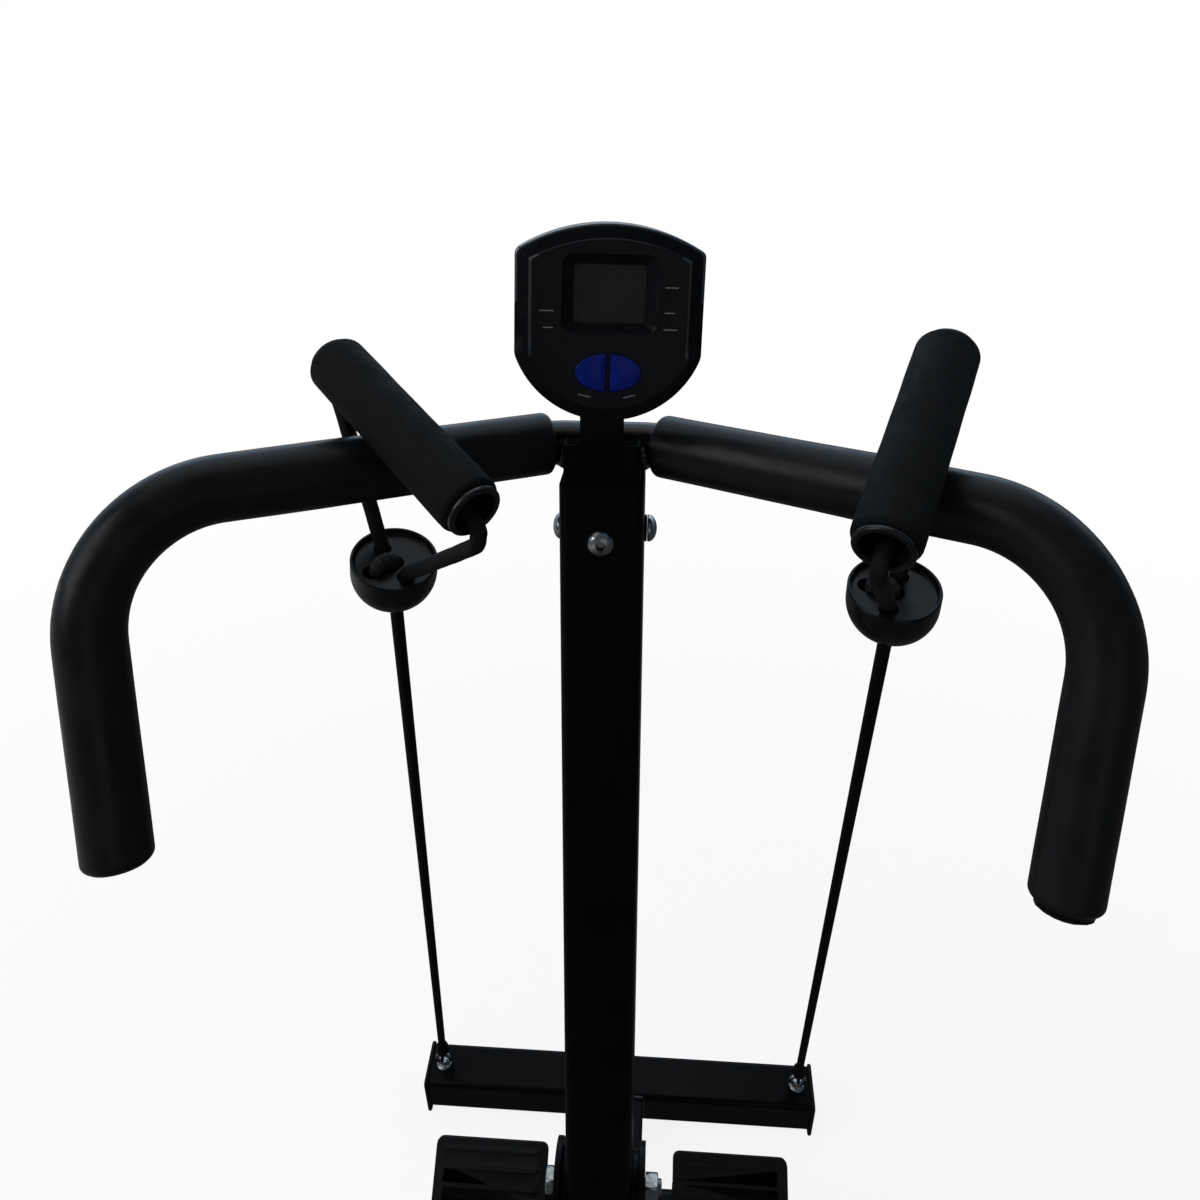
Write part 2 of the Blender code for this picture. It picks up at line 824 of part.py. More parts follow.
def button_head(sides=16):
    """A domed screw head with its flat at zero, rising along +Z."""
    dome = [
        (button_head_radius * math.cos(a), button_head_height * (0.15 + 0.85 * math.sin(a)))
        for a in (0, math.pi / 6, math.pi / 3)
    ]
    return turned([(0, 0), (button_head_radius, 0), *dome, (0, button_head_height)], sides)


def clamp_bolts(bar):
    """One bolt through both side walls with a domed nut, and a short one in the front wall."""
    face = post_size / 2 + gap
    for name, out, where in (
        ("side_bolt", Vector((-1, 0, 0)), Vector((-face, 0, -clamp_bolt_below_bar))),
        ("front_bolt", Vector((0, -1, 0)), Vector((0, -face, -clamp_bolt_below_bar))),
        ("side_nut", Vector((1, 0, 0)), Vector((face + washer_thickness + gap, 0, -clamp_bolt_below_bar))),
    ):
        holder = empty(name + "_place", (0, 0, 0), parent=bar)
        set_frame(holder, Matrix.Translation(where) @ up_frame_any(out))
        head = add(name, button_head(), "zinc", holder)
        if name == "side_nut":
            cut(head, rod(clamp_bolt_radius + hole_play, -gap, button_head_height * 0.55, "Z", 12), holder)
            continue
        cut(head, prism(circle(hex_socket_radius, 6), button_head_height - hex_socket_depth, button_head_height * 2), holder)
        length = front_bolt_length if name == "front_bolt" else post_size + washer_thickness + 4 * gap
        join(head, rod(clamp_bolt_radius, -length, button_head_height * 0.2, "Z", 12), holder)
    outer, inner = circle(washer_radius, 16, (0, -clamp_bolt_below_bar)), circle(clamp_bolt_radius + hole_play, 16, (0, -clamp_bolt_below_bar))
    add("side_washer", prism(outer, face, face + washer_thickness, "X", inner), "plastic", bar)


def up_frame_any(up):
    """A rotation whose +Z is the given direction."""
    return up.to_track_quat("Z", "Y").to_matrix().to_4x4()


# Console, in its own frame: the front and back housings part at y = 0, the face looks along -Y

def console_outline(inset=0.0, steps=8):
    """Upright sides, an arched top and a round bottom, drawn in by the inset."""
    half = console_half_width - inset
    apex = console_apex - inset
    shoulder = console_shoulder - inset * 0.55
    foot = console_foot
    bottom = console_bottom - inset
    top_radius = (half ** 2 + (apex - shoulder) ** 2) / (2 * (apex - shoulder))
    low_radius = (half ** 2 + (bottom - foot) ** 2) / (2 * (bottom - foot))
    top_angle = math.asin(half / top_radius)
    low_angle = math.acos(1 - (bottom - foot) / low_radius)
    top = arc((0, apex - top_radius), top_radius, math.pi / 2 - top_angle, math.pi / 2 + top_angle, steps)
    low = arc((0, low_radius - bottom), low_radius, 1.5 * math.pi - low_angle, 1.5 * math.pi + low_angle, 2 * steps)
    return top + low


def console_front(console):
    outside = loft([
        (console_skirt, console_outline()),
        (-console_rise * 0.25, console_outline()),
        (-console_rise * 0.70, console_outline(console_rim * 0.35)),
        (-console_rise * 0.92, console_outline(console_rim * 0.80)),
        (-console_rise, console_outline(console_rim)),
    ])
    front = add("console_front", outside, "gloss", console, sharp=25)
    inside = loft([
        (console_skirt + gap, console_outline(console_wall)),
        (-console_rise * 0.25, console_outline(console_wall)),
        (-console_rise + console_wall, console_outline(console_rim)),
    ])
    cut(front, inside, console)
    frame = loft([
        (-console_rise + glass_depth, rounded_rectangle(recess_width, recess_height, 0.004, (0, display_centre))),
        (-console_rise + console_wall / 2, rounded_rectangle(recess_width, recess_height, 0.004, (0, display_centre))),
    ])
    join(front, frame, console)
    window = loft([
        (-console_rise - gap, rounded_rectangle(recess_width - 0.002, recess_height - 0.002, 0.003, (0, display_centre))),
        (-console_rise + glass_depth - 0.001, rounded_rectangle(glass_width, glass_height, 0.001, (0, display_centre))),
        (-console_rise + glass_depth + gap, rounded_rectangle(glass_width, glass_height, 0.001, (0, display_centre))),
    ])
    cut(front, window, console)
    for side in (-1, 1):
        cut(front, prism(button_outline(side, gap), -console_rise * 2, console_skirt, "Y"), console)


def button_outline(side, grow=0.0, steps=10):
    """Half an ellipse, with its straight edge beside the other button."""
    points = []
    for i in range(steps + 1):
        turn = -math.pi / 2 + math.pi * i / steps
        points.append((
            side * (button_gap / 2 - grow + (button_width / 2 - button_gap / 2 + 2 * grow) * math.cos(turn)),
            button_centre + (button_height / 2 + grow) * math.sin(turn),
        ))
    return points


def button(name, side, holder):
    """A domed key whose back stops a travel's length in front of the board."""
    centre = (side * (button_gap / 2 + button_width / 4), button_centre)

    def drawn_in(share):
        return [(centre[0] + (u - centre[0]) * share, centre[1] + (v - centre[1]) * share) for u, v in button_outline(side)]

    back = -console_rise + glass_depth + lens_thickness + panel_thickness + 2 * gap - button_travel
    key = loft([
        (back, button_outline(side)),
        (-console_rise - button_proud * 0.35, button_outline(side)),
        (-console_rise - button_proud * 0.80, drawn_in(0.86)),
        (-console_rise - button_proud, drawn_in(0.60)),
    ])
    add(name, key, "blue", holder, sharp=50)


def display_stack(console):
    """The window, the liquid crystal panel behind it and the board that carries both."""
    level = -console_rise + glass_depth + gap
    for name, width, height, thickness, middle, finish in (
        ("display_lens", recess_width - 0.004, recess_height - 0.004, lens_thickness, display_centre, "glass"),
        ("display_panel", recess_width - 0.004, recess_height - 0.004, panel_thickness, display_centre, "display"),
        ("circuit_board", board_width, board_height, board_thickness, board_centre, "board"),
    ):
        outline = rounded_rectangle(width, height, 0.001, (0, middle))
        add(name, prism(outline, level, level + thickness, "Y"), finish, console)
        level += thickness + gap


def console_back(console, bar):
    start = console_skirt + gap
    end = start + console_depth
    outside = loft([
        (start, console_outline()),
        (end - console_edge, console_outline(console_wall * 0.5)),
        (end - console_edge * 0.3, console_outline(console_edge * 0.5)),
        (end, console_outline(console_edge * 1.3)),
    ])
    back = add("console_back", outside, "plastic", console)
    inside = loft([
        (start - gap, console_outline(console_wall)),
        (end - console_edge, console_outline(console_wall * 1.5)),
        (end - console_wall, console_outline(console_edge * 1.3 + console_wall * 0.3)),
    ])
    cut(back, inside, console)
    boss = rounded_rectangle(boss_width, boss_height, 0.003, (-console_centre.x, boss_centre))
    join(back, prism(boss, end - console_wall * 0.9, end + boss_length, "Y"), console)
    behind = neck_face - neck_thickness - gap
    room = (console_half_width * 4, console_depth * 2, console_bottom * 4)
    cut(back, block(room, (0, behind + room[1] / 2, console_centre.z)), bar)
    opening = rounded_rectangle(battery_width, battery_height, 0.002, (0, battery_centre))
    cut(back, prism(opening, end - console_wall * 2, end + gap * 2, "Y"), console)
    lid = rounded_rectangle(battery_width - 2 * gap, battery_height - 2 * gap, 0.002, (0, battery_centre))
    add("battery_cover", prism(lid, end - console_wall, end, "Y"), "plastic", console)


def console_neck(bar):
    """The flat bracket between the handlebar's stub and the back of the console."""
    face = neck_face
    outline = rounded_rectangle(neck_width, neck_top + neck_below_bar, 0.003, (neck_centre, (neck_top - neck_below_bar) / 2))
    add("console_neck", prism(outline, face - neck_thickness, face, "Y"), "plastic", bar)


# Pull handles, each in a frame at the middle of its grip: +Y from the near end to the far end, +Z away from the cup

class Handle:
    def __init__(self, name, bar):
        near, far, rim, hang = (Vector(p) for p in handle_places[name])
        self.name = name
        middle = (near + far) / 2
        self.half = (far - near).length / 2
        self.matrix = frame_matrix(middle, far - near, middle - rim)
        self.holder = empty(name + "_handle_frame", (0, 0, 0), parent=bar)
        set_frame(self.holder, self.matrix)
        inverse = self.matrix.inverted()
        self.rim = inverse @ rim
        self.hang = (inverse.to_3x3() @ hang).normalized()
        self.cup_matrix = Matrix.Translation(self.rim) @ up_frame(-self.hang)
        self.cup_holder = empty(name + "_cup_frame", (0, 0, 0), parent=self.holder)
        set_frame(self.cup_holder, self.cup_matrix)

    def strap_path(self):
        """From one hole in the cup, round the grip's end, through the grip and back to the other hole."""
        level = -(grip_bore_radius - strap_radius - gap)
        ends = []
        for side in (-1, 1):
            deep, mouth = (
                self.cup_matrix @ Vector((0, side * strap_hole_spread, z))
                for z in (-cup_recess - strap_in_cup, -cup_recess + strap_mouth_above)
            )
            out = strap_bend
            for _ in range(6):
                elbow = Vector((0, side * (self.half + out), level))
                turn = Vector((0, side, 0)).angle(mouth - elbow)
                out = strap_wrap + strap_bend * math.tan(turn / 2)
            ends.append((deep, mouth, Vector((0, side * (self.half + out), level))))
        near, far = ends
        return filleted([*near, *reversed(far)], [strap_mouth_bend, strap_bend, strap_bend, strap_mouth_bend], math.radians(16))

    def make(self):
        self.make_strap()
        self.make_grip()
        self.make_cup()
        self.make_rope()

    def make_strap(self):
        path = self.strap_path()
        add(self.name + "_handle_strap", swept(path, [strap_radius] * len(path), 10, Vector((1, 0, 0))), "cord", self.holder)

    def make_grip(self):
        """A plastic tube with a flange at each end, and the foam sleeve between the flanges."""
        soft = self.half
        back = soft + gap
        reach = back + grip_flange
        edge = grip_flange_edge
        one_end = (
            (grip_tube_radius, back), (grip_flange_radius, back), (grip_flange_radius, reach - edge),
            (grip_flange_radius - edge, reach), (grip_bore_radius + edge, reach), (grip_bore_radius, reach - edge),
        )
        profile = [(radius, -level) for radius, level in reversed(one_end)] + list(one_end)
        add(self.name + "_grip_tube", turned(profile, 20, "Y", closed=True), "plastic", self.holder)
        inner = grip_tube_radius + gap
        profile = (
            (inner, -soft), (grip_radius - grip_round, -soft), (grip_radius - grip_round * 0.3, -soft + grip_round * 0.3),
            (grip_radius, -soft + grip_round), (grip_radius, soft - grip_round),
            (grip_radius - grip_round * 0.3, soft - grip_round * 0.3), (grip_radius - grip_round, soft), (inner, soft),
        )
        add(self.name + "_grip_foam", turned(profile, grip_foam_sides[self.name], "Y", closed=True), "foam", self.holder)

    def make_cup(self):
        """A round-bottomed cup with a rim, a floor inside the rim, and holes for the strap and the rope."""
        bowl = cup_height - cup_wall_straight
        outside = [(0, 0), (cup_radius - cup_rim * 0.4, 0), (cup_radius, -cup_rim * 0.4), (cup_radius, -cup_wall_straight)]
        outside += [(cup_radius * math.cos(a), -cup_wall_straight - bowl * math.sin(a)) for a in (math.radians(d) for d in (18, 36, 54, 70))]
        outside.append((0, -cup_height))
        cup = add(self.name + "_cup", turned(outside, 24), "plastic", self.cup_holder)
        cut(cup, rod(cup_radius - cup_rim, -cup_recess, cup_rim, "Z", 24), self.cup_holder)
        for side in (-1, 1):
            hole = rod(strap_radius + gap, -cup_recess - strap_in_cup - gap, 0, "Z", 16, (0, side * strap_hole_spread))
            cut(cup, hole, self.cup_holder)
        cut(cup, rod(cord_hole_radius, -cup_height * 1.1, 0, "Z", 16), self.cup_holder)
        cut(cup, rod(rope_radius + gap, -cup_recess - strap_in_cup - gap, 0, "Z", 16, (-rope_hole_aside, 0)), self.cup_holder)

    def make_rope(self):
        """The rope's end, over the cup's floor from the middle hole to the one at the side."""
        low = -cup_recess - rope_radius * 0.2
        top = -cup_recess + rope_radius + rope_loop_height
        bend = rope_hole_aside / 2 * 0.95
        corners = [Vector((0, 0, low)), Vector((0, 0, top)), Vector((-rope_hole_aside, 0, top)), Vector((-rope_hole_aside, 0, -cup_recess - strap_in_cup))]
        path = filleted(corners, [bend, bend], math.radians(22))
        add(self.name + "_rope_loop", swept(path, [rope_radius] * len(path), 10, Vector((0, 1, 0))), "cord", self.cup_holder)


def cord_aim(side):
    """The middle of the cup's bore, which the taut cord's axis passes."""
    handle = HANDLES[side]
    local = handle.cup_matrix @ Vector((0, 0, -cup_height + cord_inside() / 2))
    return (bar_world() @ handle.matrix @ local.to_4d()).to_3d()


def cord_inside():
    """How much of the cord's end lies in the cup, under the end of the rope."""
    return cup_height - cup_recess - rope_radius * 0.2 - cord_cover


def bar_world():
    return (
        Matrix.Translation((0, pivot_y, pivot_height)) @ Matrix.Rotation(-lean, 4, "X") @ Matrix.Translation((0, 0, bar_reach))
    )


def cord(name, side):
    """The elastic cord, straight from the hook's ferrule to the inside of the cup."""
    low, up = cord_line(side)
    start = low + up * (2 * hook_radius - hook_wire + ferrule_length + gap)
    top = cord_aim(side) + up * cord_inside() / 2
    curve = bpy.data.curves.new(name, "CURVE")
    curve.dimensions = "3D"
    curve.bevel_depth = cord_radius
    curve.bevel_resolution = 2
    curve.use_fill_caps = True
    line = curve.splines.new("POLY")
    line.points.add(1)
    for point, place in zip(line.points, (start, top)):
        point.co = (*place, 1)
    curve.materials.append(material(name, *FINISHES["cord"]))
    made = bpy.data.objects.new(name, curve)
    bpy.context.collection.objects.link(made)


# Saddle lever

def seat_lever(seat):
    """The square tube from the lower pivot up to the saddle, with its bush, slotted tab and seat plate."""
    reach = seat_behind_pivot / math.cos(seat_lever_angle)
    tilted = empty("seat_lever_frame", (0, 0, 0), (math.pi / 2 - seat_lever_angle, 0, 0), seat)
    outer = rounded_rectangle(seat_lever_size, seat_lever_size, seat_lever_corner)
    lever = add("seat_lever", prism(outer, -seat_lever_front, reach, "Z"), "paint", tilted)
    plate_z = seat_plate_height - seat_pivot_height
    riser_y = -seat_behind_pivot + riser_length - riser_behind
    riser_z = -riser_y * math.tan(seat_lever_angle)
    riser_top = plate_z + seat_plate_thickness / 2
    riser = block((riser_width, riser_length, riser_top - riser_z), (0, riser_y, (riser_top + riser_z) / 2), riser_corner)
    join(lever, riser, seat)
    centre = (0, -seat_behind_pivot, plate_z + seat_plate_thickness / 2)
    join(lever, block((seat_plate_width, seat_plate_length, seat_plate_thickness), centre, 0.012), seat)
    inside = seat_lever_size - 2 * tube_wall
    inner = rounded_rectangle(inside, inside, seat_lever_corner - tube_wall / 2)
    cut(lever, prism(inner, lever_bore_start, reach + cap_depth, "Z"), tilted)
    span = bracket_inside - gap
    join(lever, rod(bush_radius, -span, span, "X", 20), seat)
    turn = math.atan2(pin_y - pivot_y, pin_z - seat_pivot_height)
    upright = empty("tab_frame", (0, 0, 0), (-turn, 0, 0), seat)
    slot_low, slot_high = pin_reach_middle - slot_play, pin_reach_rest + slot_play
    tab = hull(((0, 0, tab_foot_radius), (0, slot_high, tab_top_radius)), 20)
    join(lever, prism(tab, -tab_thickness / 2, tab_thickness / 2, "X"), upright)
    wide = pin_radius + slot_play
    cut(lever, prism(hull(((0, slot_low, wide), (0, slot_high, wide)), 16), -tab_thickness, tab_thickness, "X"), upright)
    cut(lever, rod(bolt_radius + hole_play, -span * 1.2, span * 1.2, "X", 16), seat)
    end = rounded_rectangle(seat_lever_size, seat_lever_size, seat_lever_corner)
    cap = add("seat_lever_cap", prism(end, reach + gap, reach + gap + cap_flange, "Z"), "rubber", tilted)
    small = inside - 2 * gap
    plug = rounded_rectangle(small, small, seat_lever_corner - tube_wall / 2)
    join(cap, prism(plug, reach - cap_depth, reach + gap * 2, "Z"), tilted)


def saddle_outline(grow=0.0, steps=40):
    """Wide behind, narrower in front: a rounded rectangle whose width falls off towards the nose."""
    points = []
    for i in range(steps):
        turn = math.tau * i / steps
        c, s = math.cos(turn), math.sin(turn)
        u = math.copysign(abs(c) ** 0.72, c)
        v = math.copysign(abs(s) ** 0.72, s)
        y = (saddle_length / 2 + grow) * v
        forward = (v + 1) / 2
        ease = forward * forward * (3 - 2 * forward)
        half = saddle_width / 2 + (saddle_nose_width - saddle_width) / 2 * ease + grow
        points.append((half * u, y))
    return points


def scaled(outline, share):
    return [(u * share, v * share) for u, v in outline]


def saddle(seat):
    """A board on the seat plate and a crowned cushion whose sides draw in under its widest line."""
    low = seat_plate_height + seat_plate_thickness - seat_pivot_height + gap
    holder = empty("saddle_frame", (0, -seat_behind_pivot, low), parent=seat)
    board = loft([
        (0.0, saddle_outline(-saddle_overhang - 0.004)),
        (0.003, saddle_outline(-saddle_overhang)),
        (saddle_base_thickness, saddle_outline(-saddle_overhang)),
    ], "Z")
    add("saddle_board", board, "plastic", holder)
    start = saddle_base_thickness + gap
    side_height = saddle_thickness - saddle_crown
    outline = saddle_outline()
    levels = [
        (start, saddle_outline(-saddle_overhang * 0.9)),
        (start + side_height * 0.22, saddle_outline(-saddle_overhang * 0.25)),
        (start + side_height * 0.55, outline),
        (start + side_height * 0.85, saddle_outline(-0.003)),
    ]
    for share, rise in ((0.93, 0.30), (0.82, 0.62), (0.62, 0.86), (0.34, 0.97), (0.12, 1.0)):
        levels.append((start + side_height + saddle_crown * rise, scaled(outline, share)))
    add("saddle_pad", loft(levels, "Z"), "vinyl", holder, sharp=60)


def build():
    clear_scene()
    mast = empty("mast_pivot", (0, pivot_y, pivot_height), (-lean, 0, 0))
    bar = empty("bar_centre", (0, 0, bar_reach), parent=mast)
    seat = empty("seat_pivot", (0, pivot_y, seat_pivot_height))
    peg = empty("pedal_axis", (0, peg_forward, -peg_below), (lean + pedal_slope, 0, 0), mast)
    console = empty("console_frame", console_centre, (-console_tilt, console_roll, console_turn), bar)
    for side, name in ((-1, "left"), (1, "right")):
        HANDLES[side] = Handle(name, bar)

    stabilizer("front_stabilizer", stabilizer_y)
    stabilizer("rear_stabilizer", -stabilizer_y)
    base_rail()
    pivot_bolt("mast_pivot", pivot_height)
    pivot_bolt("seat_pivot", seat_pivot_height)
    stop_bar()
    post(mast)
    drive_pin(mast)
    peg_bar(mast)
    handlebar(bar)
    clamp_bolts(bar)
    console_neck(bar)
    console_front(console)
    console_back(console, bar)
    display_stack(console)
    seat_lever(seat)
    saddle(seat)
    for side, name in ((-1, "left"), (1, "right")):
        stabilizer_cap(f"front_{name}_cap", side, stabilizer_y)
        stabilizer_cap(f"rear_{name}_cap", side, -stabilizer_y)
        pivot_bracket(f"{name}_pivot_bracket", side)
        lever_plate(f"{name}_lever_plate", side, mast)
        pedal(f"{name}_pedal", side, peg)
        bar_foam(f"{name}_bar_foam", side, bar)
        bar_plug(f"{name}_bar_plug", side, bar)
        button(f"{name}_button", side, console)
        HANDLES[side].make()
        cord_eye(f"{name}_cord_eye", side)
        cord_hook(f"{name}_cord_hook", side)
        cord(f"{name}_cord", side)


HANDLES = {}

if __name__ == "__main__":
    build()
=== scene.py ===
import json
import math
import bmesh
import bpy
import numpy as np
from mathutils import Euler, Matrix, Vector
from mathutils.bvhtree import BVHTree


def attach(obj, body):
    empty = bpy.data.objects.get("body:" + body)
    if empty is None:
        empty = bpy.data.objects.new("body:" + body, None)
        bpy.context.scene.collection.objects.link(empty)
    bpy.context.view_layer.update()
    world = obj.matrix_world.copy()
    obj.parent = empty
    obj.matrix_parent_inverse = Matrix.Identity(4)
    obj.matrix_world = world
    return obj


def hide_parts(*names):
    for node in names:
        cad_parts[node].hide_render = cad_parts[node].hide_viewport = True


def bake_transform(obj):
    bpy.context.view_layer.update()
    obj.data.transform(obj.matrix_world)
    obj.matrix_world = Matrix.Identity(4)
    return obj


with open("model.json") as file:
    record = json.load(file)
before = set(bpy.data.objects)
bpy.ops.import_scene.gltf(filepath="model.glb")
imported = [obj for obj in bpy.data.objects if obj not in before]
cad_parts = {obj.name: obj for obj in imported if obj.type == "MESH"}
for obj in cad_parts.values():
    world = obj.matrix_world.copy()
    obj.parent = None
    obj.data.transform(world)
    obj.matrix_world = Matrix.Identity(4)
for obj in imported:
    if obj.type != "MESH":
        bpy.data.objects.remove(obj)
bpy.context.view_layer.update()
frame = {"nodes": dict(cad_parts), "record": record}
nodes = frame["nodes"]
bodyOf = {node: body for body, group in frame["record"]["behaviour"]["bodies"].items() for node in group}
print("frame loaded:", len(nodes), "nodes")

# places

layout = {"leanDegrees": 12.0, "pivotHeight": 0.400, "barHeight": 1.000, "barForward": 0.338, "postSize": 0.050}
hands = (("left", -1), ("right", 1))  # the rider's two sides, and the sign of x there


def frameAt(origin, x, y, z):
    # a 4 by 4 matrix with these three directions as its columns
    matrix = np.eye(4)
    matrix[:3, 0], matrix[:3, 1], matrix[:3, 2], matrix[:3, 3] = x, y, z, origin
    return matrix


def unit(v):
    # each vector divided by its own length
    v = np.asarray(v, float)
    return v / np.linalg.norm(v, axis=-1, keepdims=True)


def moved(points, matrix):
    # points turned and shifted by a 4 by 4 matrix
    return np.asarray(points, float) @ matrix[:3, :3].T + matrix[:3, 3]


lean = math.radians(layout["leanDegrees"])
postAcross = np.array([1.0, 0.0, 0.0])
postForward = np.array([0.0, math.cos(lean), -math.sin(lean)])
postUp = np.array([0.0, math.sin(lean), math.cos(lean)])
barFrame = frameAt((0, layout["barForward"], layout["barHeight"]), postAcross, postForward, postUp)
barReach = (layout["barHeight"] - layout["pivotHeight"]) / math.cos(lean)
mastPivot = np.array([0, layout["barForward"] - barReach * math.sin(lean), layout["pivotHeight"]])


def alongUp(origin, up, forward=(0, 1, 0)):
    # a frame whose z is up and whose y stays near forward
    up = unit(up)
    x = unit(np.cross(forward, up))
    return frameAt(origin, x, np.cross(up, x), up)


# camera

cameraView = {
    "place": (0.03674, -0.57180, 0.18428),
    "right": (0.99783, 0.06573, 0.00467),
    "up": (-0.02505, 0.31287, 0.94947),
    "ahead": (-0.06094, 0.94752, -0.31383),
    "focalPixels": 1002.1,
    "centrePixel": (603.8, 454.5),
    "imageSide": 1200,
    "sensorWidth": 36.0,
    "clip": (0.01, 50),
}


def addCamera():
    # the photograph's camera, its place and directions given in the handlebar's frame
    data = bpy.data.cameras.new("photoCamera")
    data.sensor_width, data.sensor_fit = cameraView["sensorWidth"], "HORIZONTAL"
    side, (column, row) = cameraView["imageSide"], cameraView["centrePixel"]
    data.lens = cameraView["focalPixels"] / side * cameraView["sensorWidth"]
    data.shift_x, data.shift_y = (side / 2 - column) / side, (row - side / 2) / side
    data.clip_start, data.clip_end = cameraView["clip"]
    right, up, ahead = (barFrame[:3, :3] @ unit(cameraView[k]) for k in ("right", "up", "ahead"))
    place = moved([cameraView["place"]], barFrame)[0]
    camera = bpy.data.objects.new("photoCamera", data)
    camera.matrix_world = Matrix(frameAt(place, right, up, -ahead).tolist())
    bpy.context.collection.objects.link(camera)
    bpy.context.scene.camera = camera


addCamera()
print("camera placed")

# mesh helpers


def circle(sides):
    # angles spread evenly round a full turn
    return np.linspace(0, math.tau, sides, endpoint=False)


def quarter(steps):
    # angles of a quarter turn, both ends among them
    return np.linspace(0, math.pi / 2, steps)


def eased(t):
    # a smooth step from 0 to 1
    return t * t * (3 - 2 * t)


def meshPiece(name, verts, faces, finish, body, replaces=(), slot=None, smooth=True, uv=None):
    # one mesh object at the origin, with its place in its points
    mesh = bpy.data.meshes.new(name)
    mesh.from_pydata(np.asarray(verts, float).tolist(), [], [list(map(int, f)) for f in faces])
    if uv is not None:
        layer = mesh.uv_layers.new(name="pattern")
        index = np.zeros(len(mesh.loops), int)
        mesh.loops.foreach_get("vertex_index", index)
        layer.data.foreach_set("uv", np.asarray(uv, np.float32)[index].ravel())
    mesh.polygons.foreach_set("use_smooth", np.full(len(mesh.polygons), smooth))
    mesh.materials.append(finish)
    piece = bpy.data.objects.new(name, mesh)
    bpy.context.collection.objects.link(piece)
    if body:
        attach(piece, body)
    if replaces:
        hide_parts(*replaces)
    return piece


def faceOutward(piece):
    # merges doubles and turns every face outward
    mesh = piece.data
    bm = bmesh.new()
    bm.from_mesh(mesh)
    bmesh.ops.remove_doubles(bm, verts=bm.verts, dist=1e-7)
    bmesh.ops.recalc_face_normals(bm, faces=bm.faces)
    if bm.calc_volume(signed=True) < 0:
        bmesh.ops.reverse_faces(bm, faces=bm.faces)
    bm.to_mesh(mesh)
    bm.free()
    return piece


def gridFaces(rows, columns, closedRows=False, start=0):
    # quads between closed rows of points; the last row meets the first where closedRows is true
    r = np.arange(rows if closedRows else rows - 1)[:, None]
    c = np.arange(columns)[None, :]
    r2, c2 = (r + 1) % rows, (c + 1) % columns
    quads = np.stack([r * columns + c, r * columns + c2, r2 * columns + c2, r2 * columns + c], -1)
    return quads.reshape(-1, 4) + start


def closeEnds(points, faces, sides):
    # a centre point and a fan at the first and the last row
    count, last = len(points), len(points) - sides
    k = np.arange(sides)
    near = np.stack([np.full(sides, count), (k + 1) % sides, k], -1)
    far = np.stack([np.full(sides, count + 1), last + k, last + (k + 1) % sides], -1)
    points = np.vstack([points, points[:sides].mean(0), points[last:].mean(0)])
    return points, [*faces.tolist(), *near.tolist(), *far.tolist()]


def lofted(name, points, sides, matrix, finish, body, closedRows=False, **more):
    # rows of points joined in turn, with a fan over each end unless the last row meets the first
    points = np.asarray(points, float).reshape(-1, 3)
    faces = gridFaces(len(points) // sides, sides, closedRows)
    if not closedRows:
        points, faces = closeEnds(points, faces, sides)
    return faceOutward(meshPiece(name, moved(points, matrix), faces, finish, body, **more))


def turned(name, profile, sides, matrix, finish, body, **more):
    # (radius, level) pairs revolved about the frame's z
    radius, level = np.asarray(profile, float).T[..., None]
    angle = circle(sides)
    points = np.stack([radius * np.cos(angle), radius * np.sin(angle), level + 0 * angle], -1)
    return lofted(name, points, sides, matrix, finish, body, **more)


def stacked(name, curves, levels, matrix, finish, body, **more):
    # closed curves of equal count set at levels of the frame's z and joined in turn
    curves, levels = np.asarray(curves, float), np.asarray(levels, float)
    if levels.ndim == 1:
        levels = levels[:, None] + np.zeros((1, curves.shape[1]))
    points = np.concatenate([curves, levels[..., None]], -1)
    return lofted(name, points, curves.shape[1], matrix, finish, body, **more)


def ringTube(centres, tangents, radii, sides, reference):
    # circles of the given radii round each centre, square to each tangent, with their start turned to the reference
    reference = np.asarray(reference, float)
    across = unit(reference - (tangents @ reference)[:, None] * tangents)
    over = np.cross(tangents, across)
    angle = circle(sides)
    ring = across[:, None] * np.cos(angle)[None, :, None] + over[:, None] * np.sin(angle)[None, :, None]
    radii = np.asarray(radii, float)
    radii = radii[:, None] if radii.ndim == 1 else radii
    return (centres[:, None] + ring * radii[..., None]).reshape(-1, 3)


def clothTube(name, distance, centres, tangents, radii, sides, reference, matrix, finish, body, **more):
    # a tube with closed ends whose pattern coordinates are turns round it and metres along it
    points = ringTube(centres, tangents, radii, sides, reference)
    uv = np.stack(np.meshgrid(np.linspace(0, 1, sides, endpoint=False), distance), -1).reshape(-1, 2)
    uv = np.vstack([uv, uv[:1], uv[-1:]])
    return lofted(name, points, sides, matrix, finish, body, slot="cord", uv=uv, **more)


def filletPath(corners, radii):
    # straight runs joined by circular arcs of 30 points, as one dense row of points
    corners = np.asarray(corners, float)
    rows = [corners[:1]]
    for i, radius in enumerate(radii, 1):
        before, after = unit(corners[i] - corners[i - 1]), unit(corners[i + 1] - corners[i])
        angle = math.acos(float(np.clip(before @ after, -1, 1)))
        inward = unit(after - before * (before @ after))
        start = corners[i] - before * radius * math.tan(angle / 2)
        turn = np.linspace(0, angle, 30)[:, None]
        rows.append(start + before * radius * np.sin(turn) + inward * radius * (1 - np.cos(turn)))
    rows.append(corners[-1:])
    return np.vstack(rows)


def runLength(path):
    # the distance run at each point of a path
    return np.concatenate([[0], np.cumsum(np.linalg.norm(np.diff(path, axis=0), axis=1))])


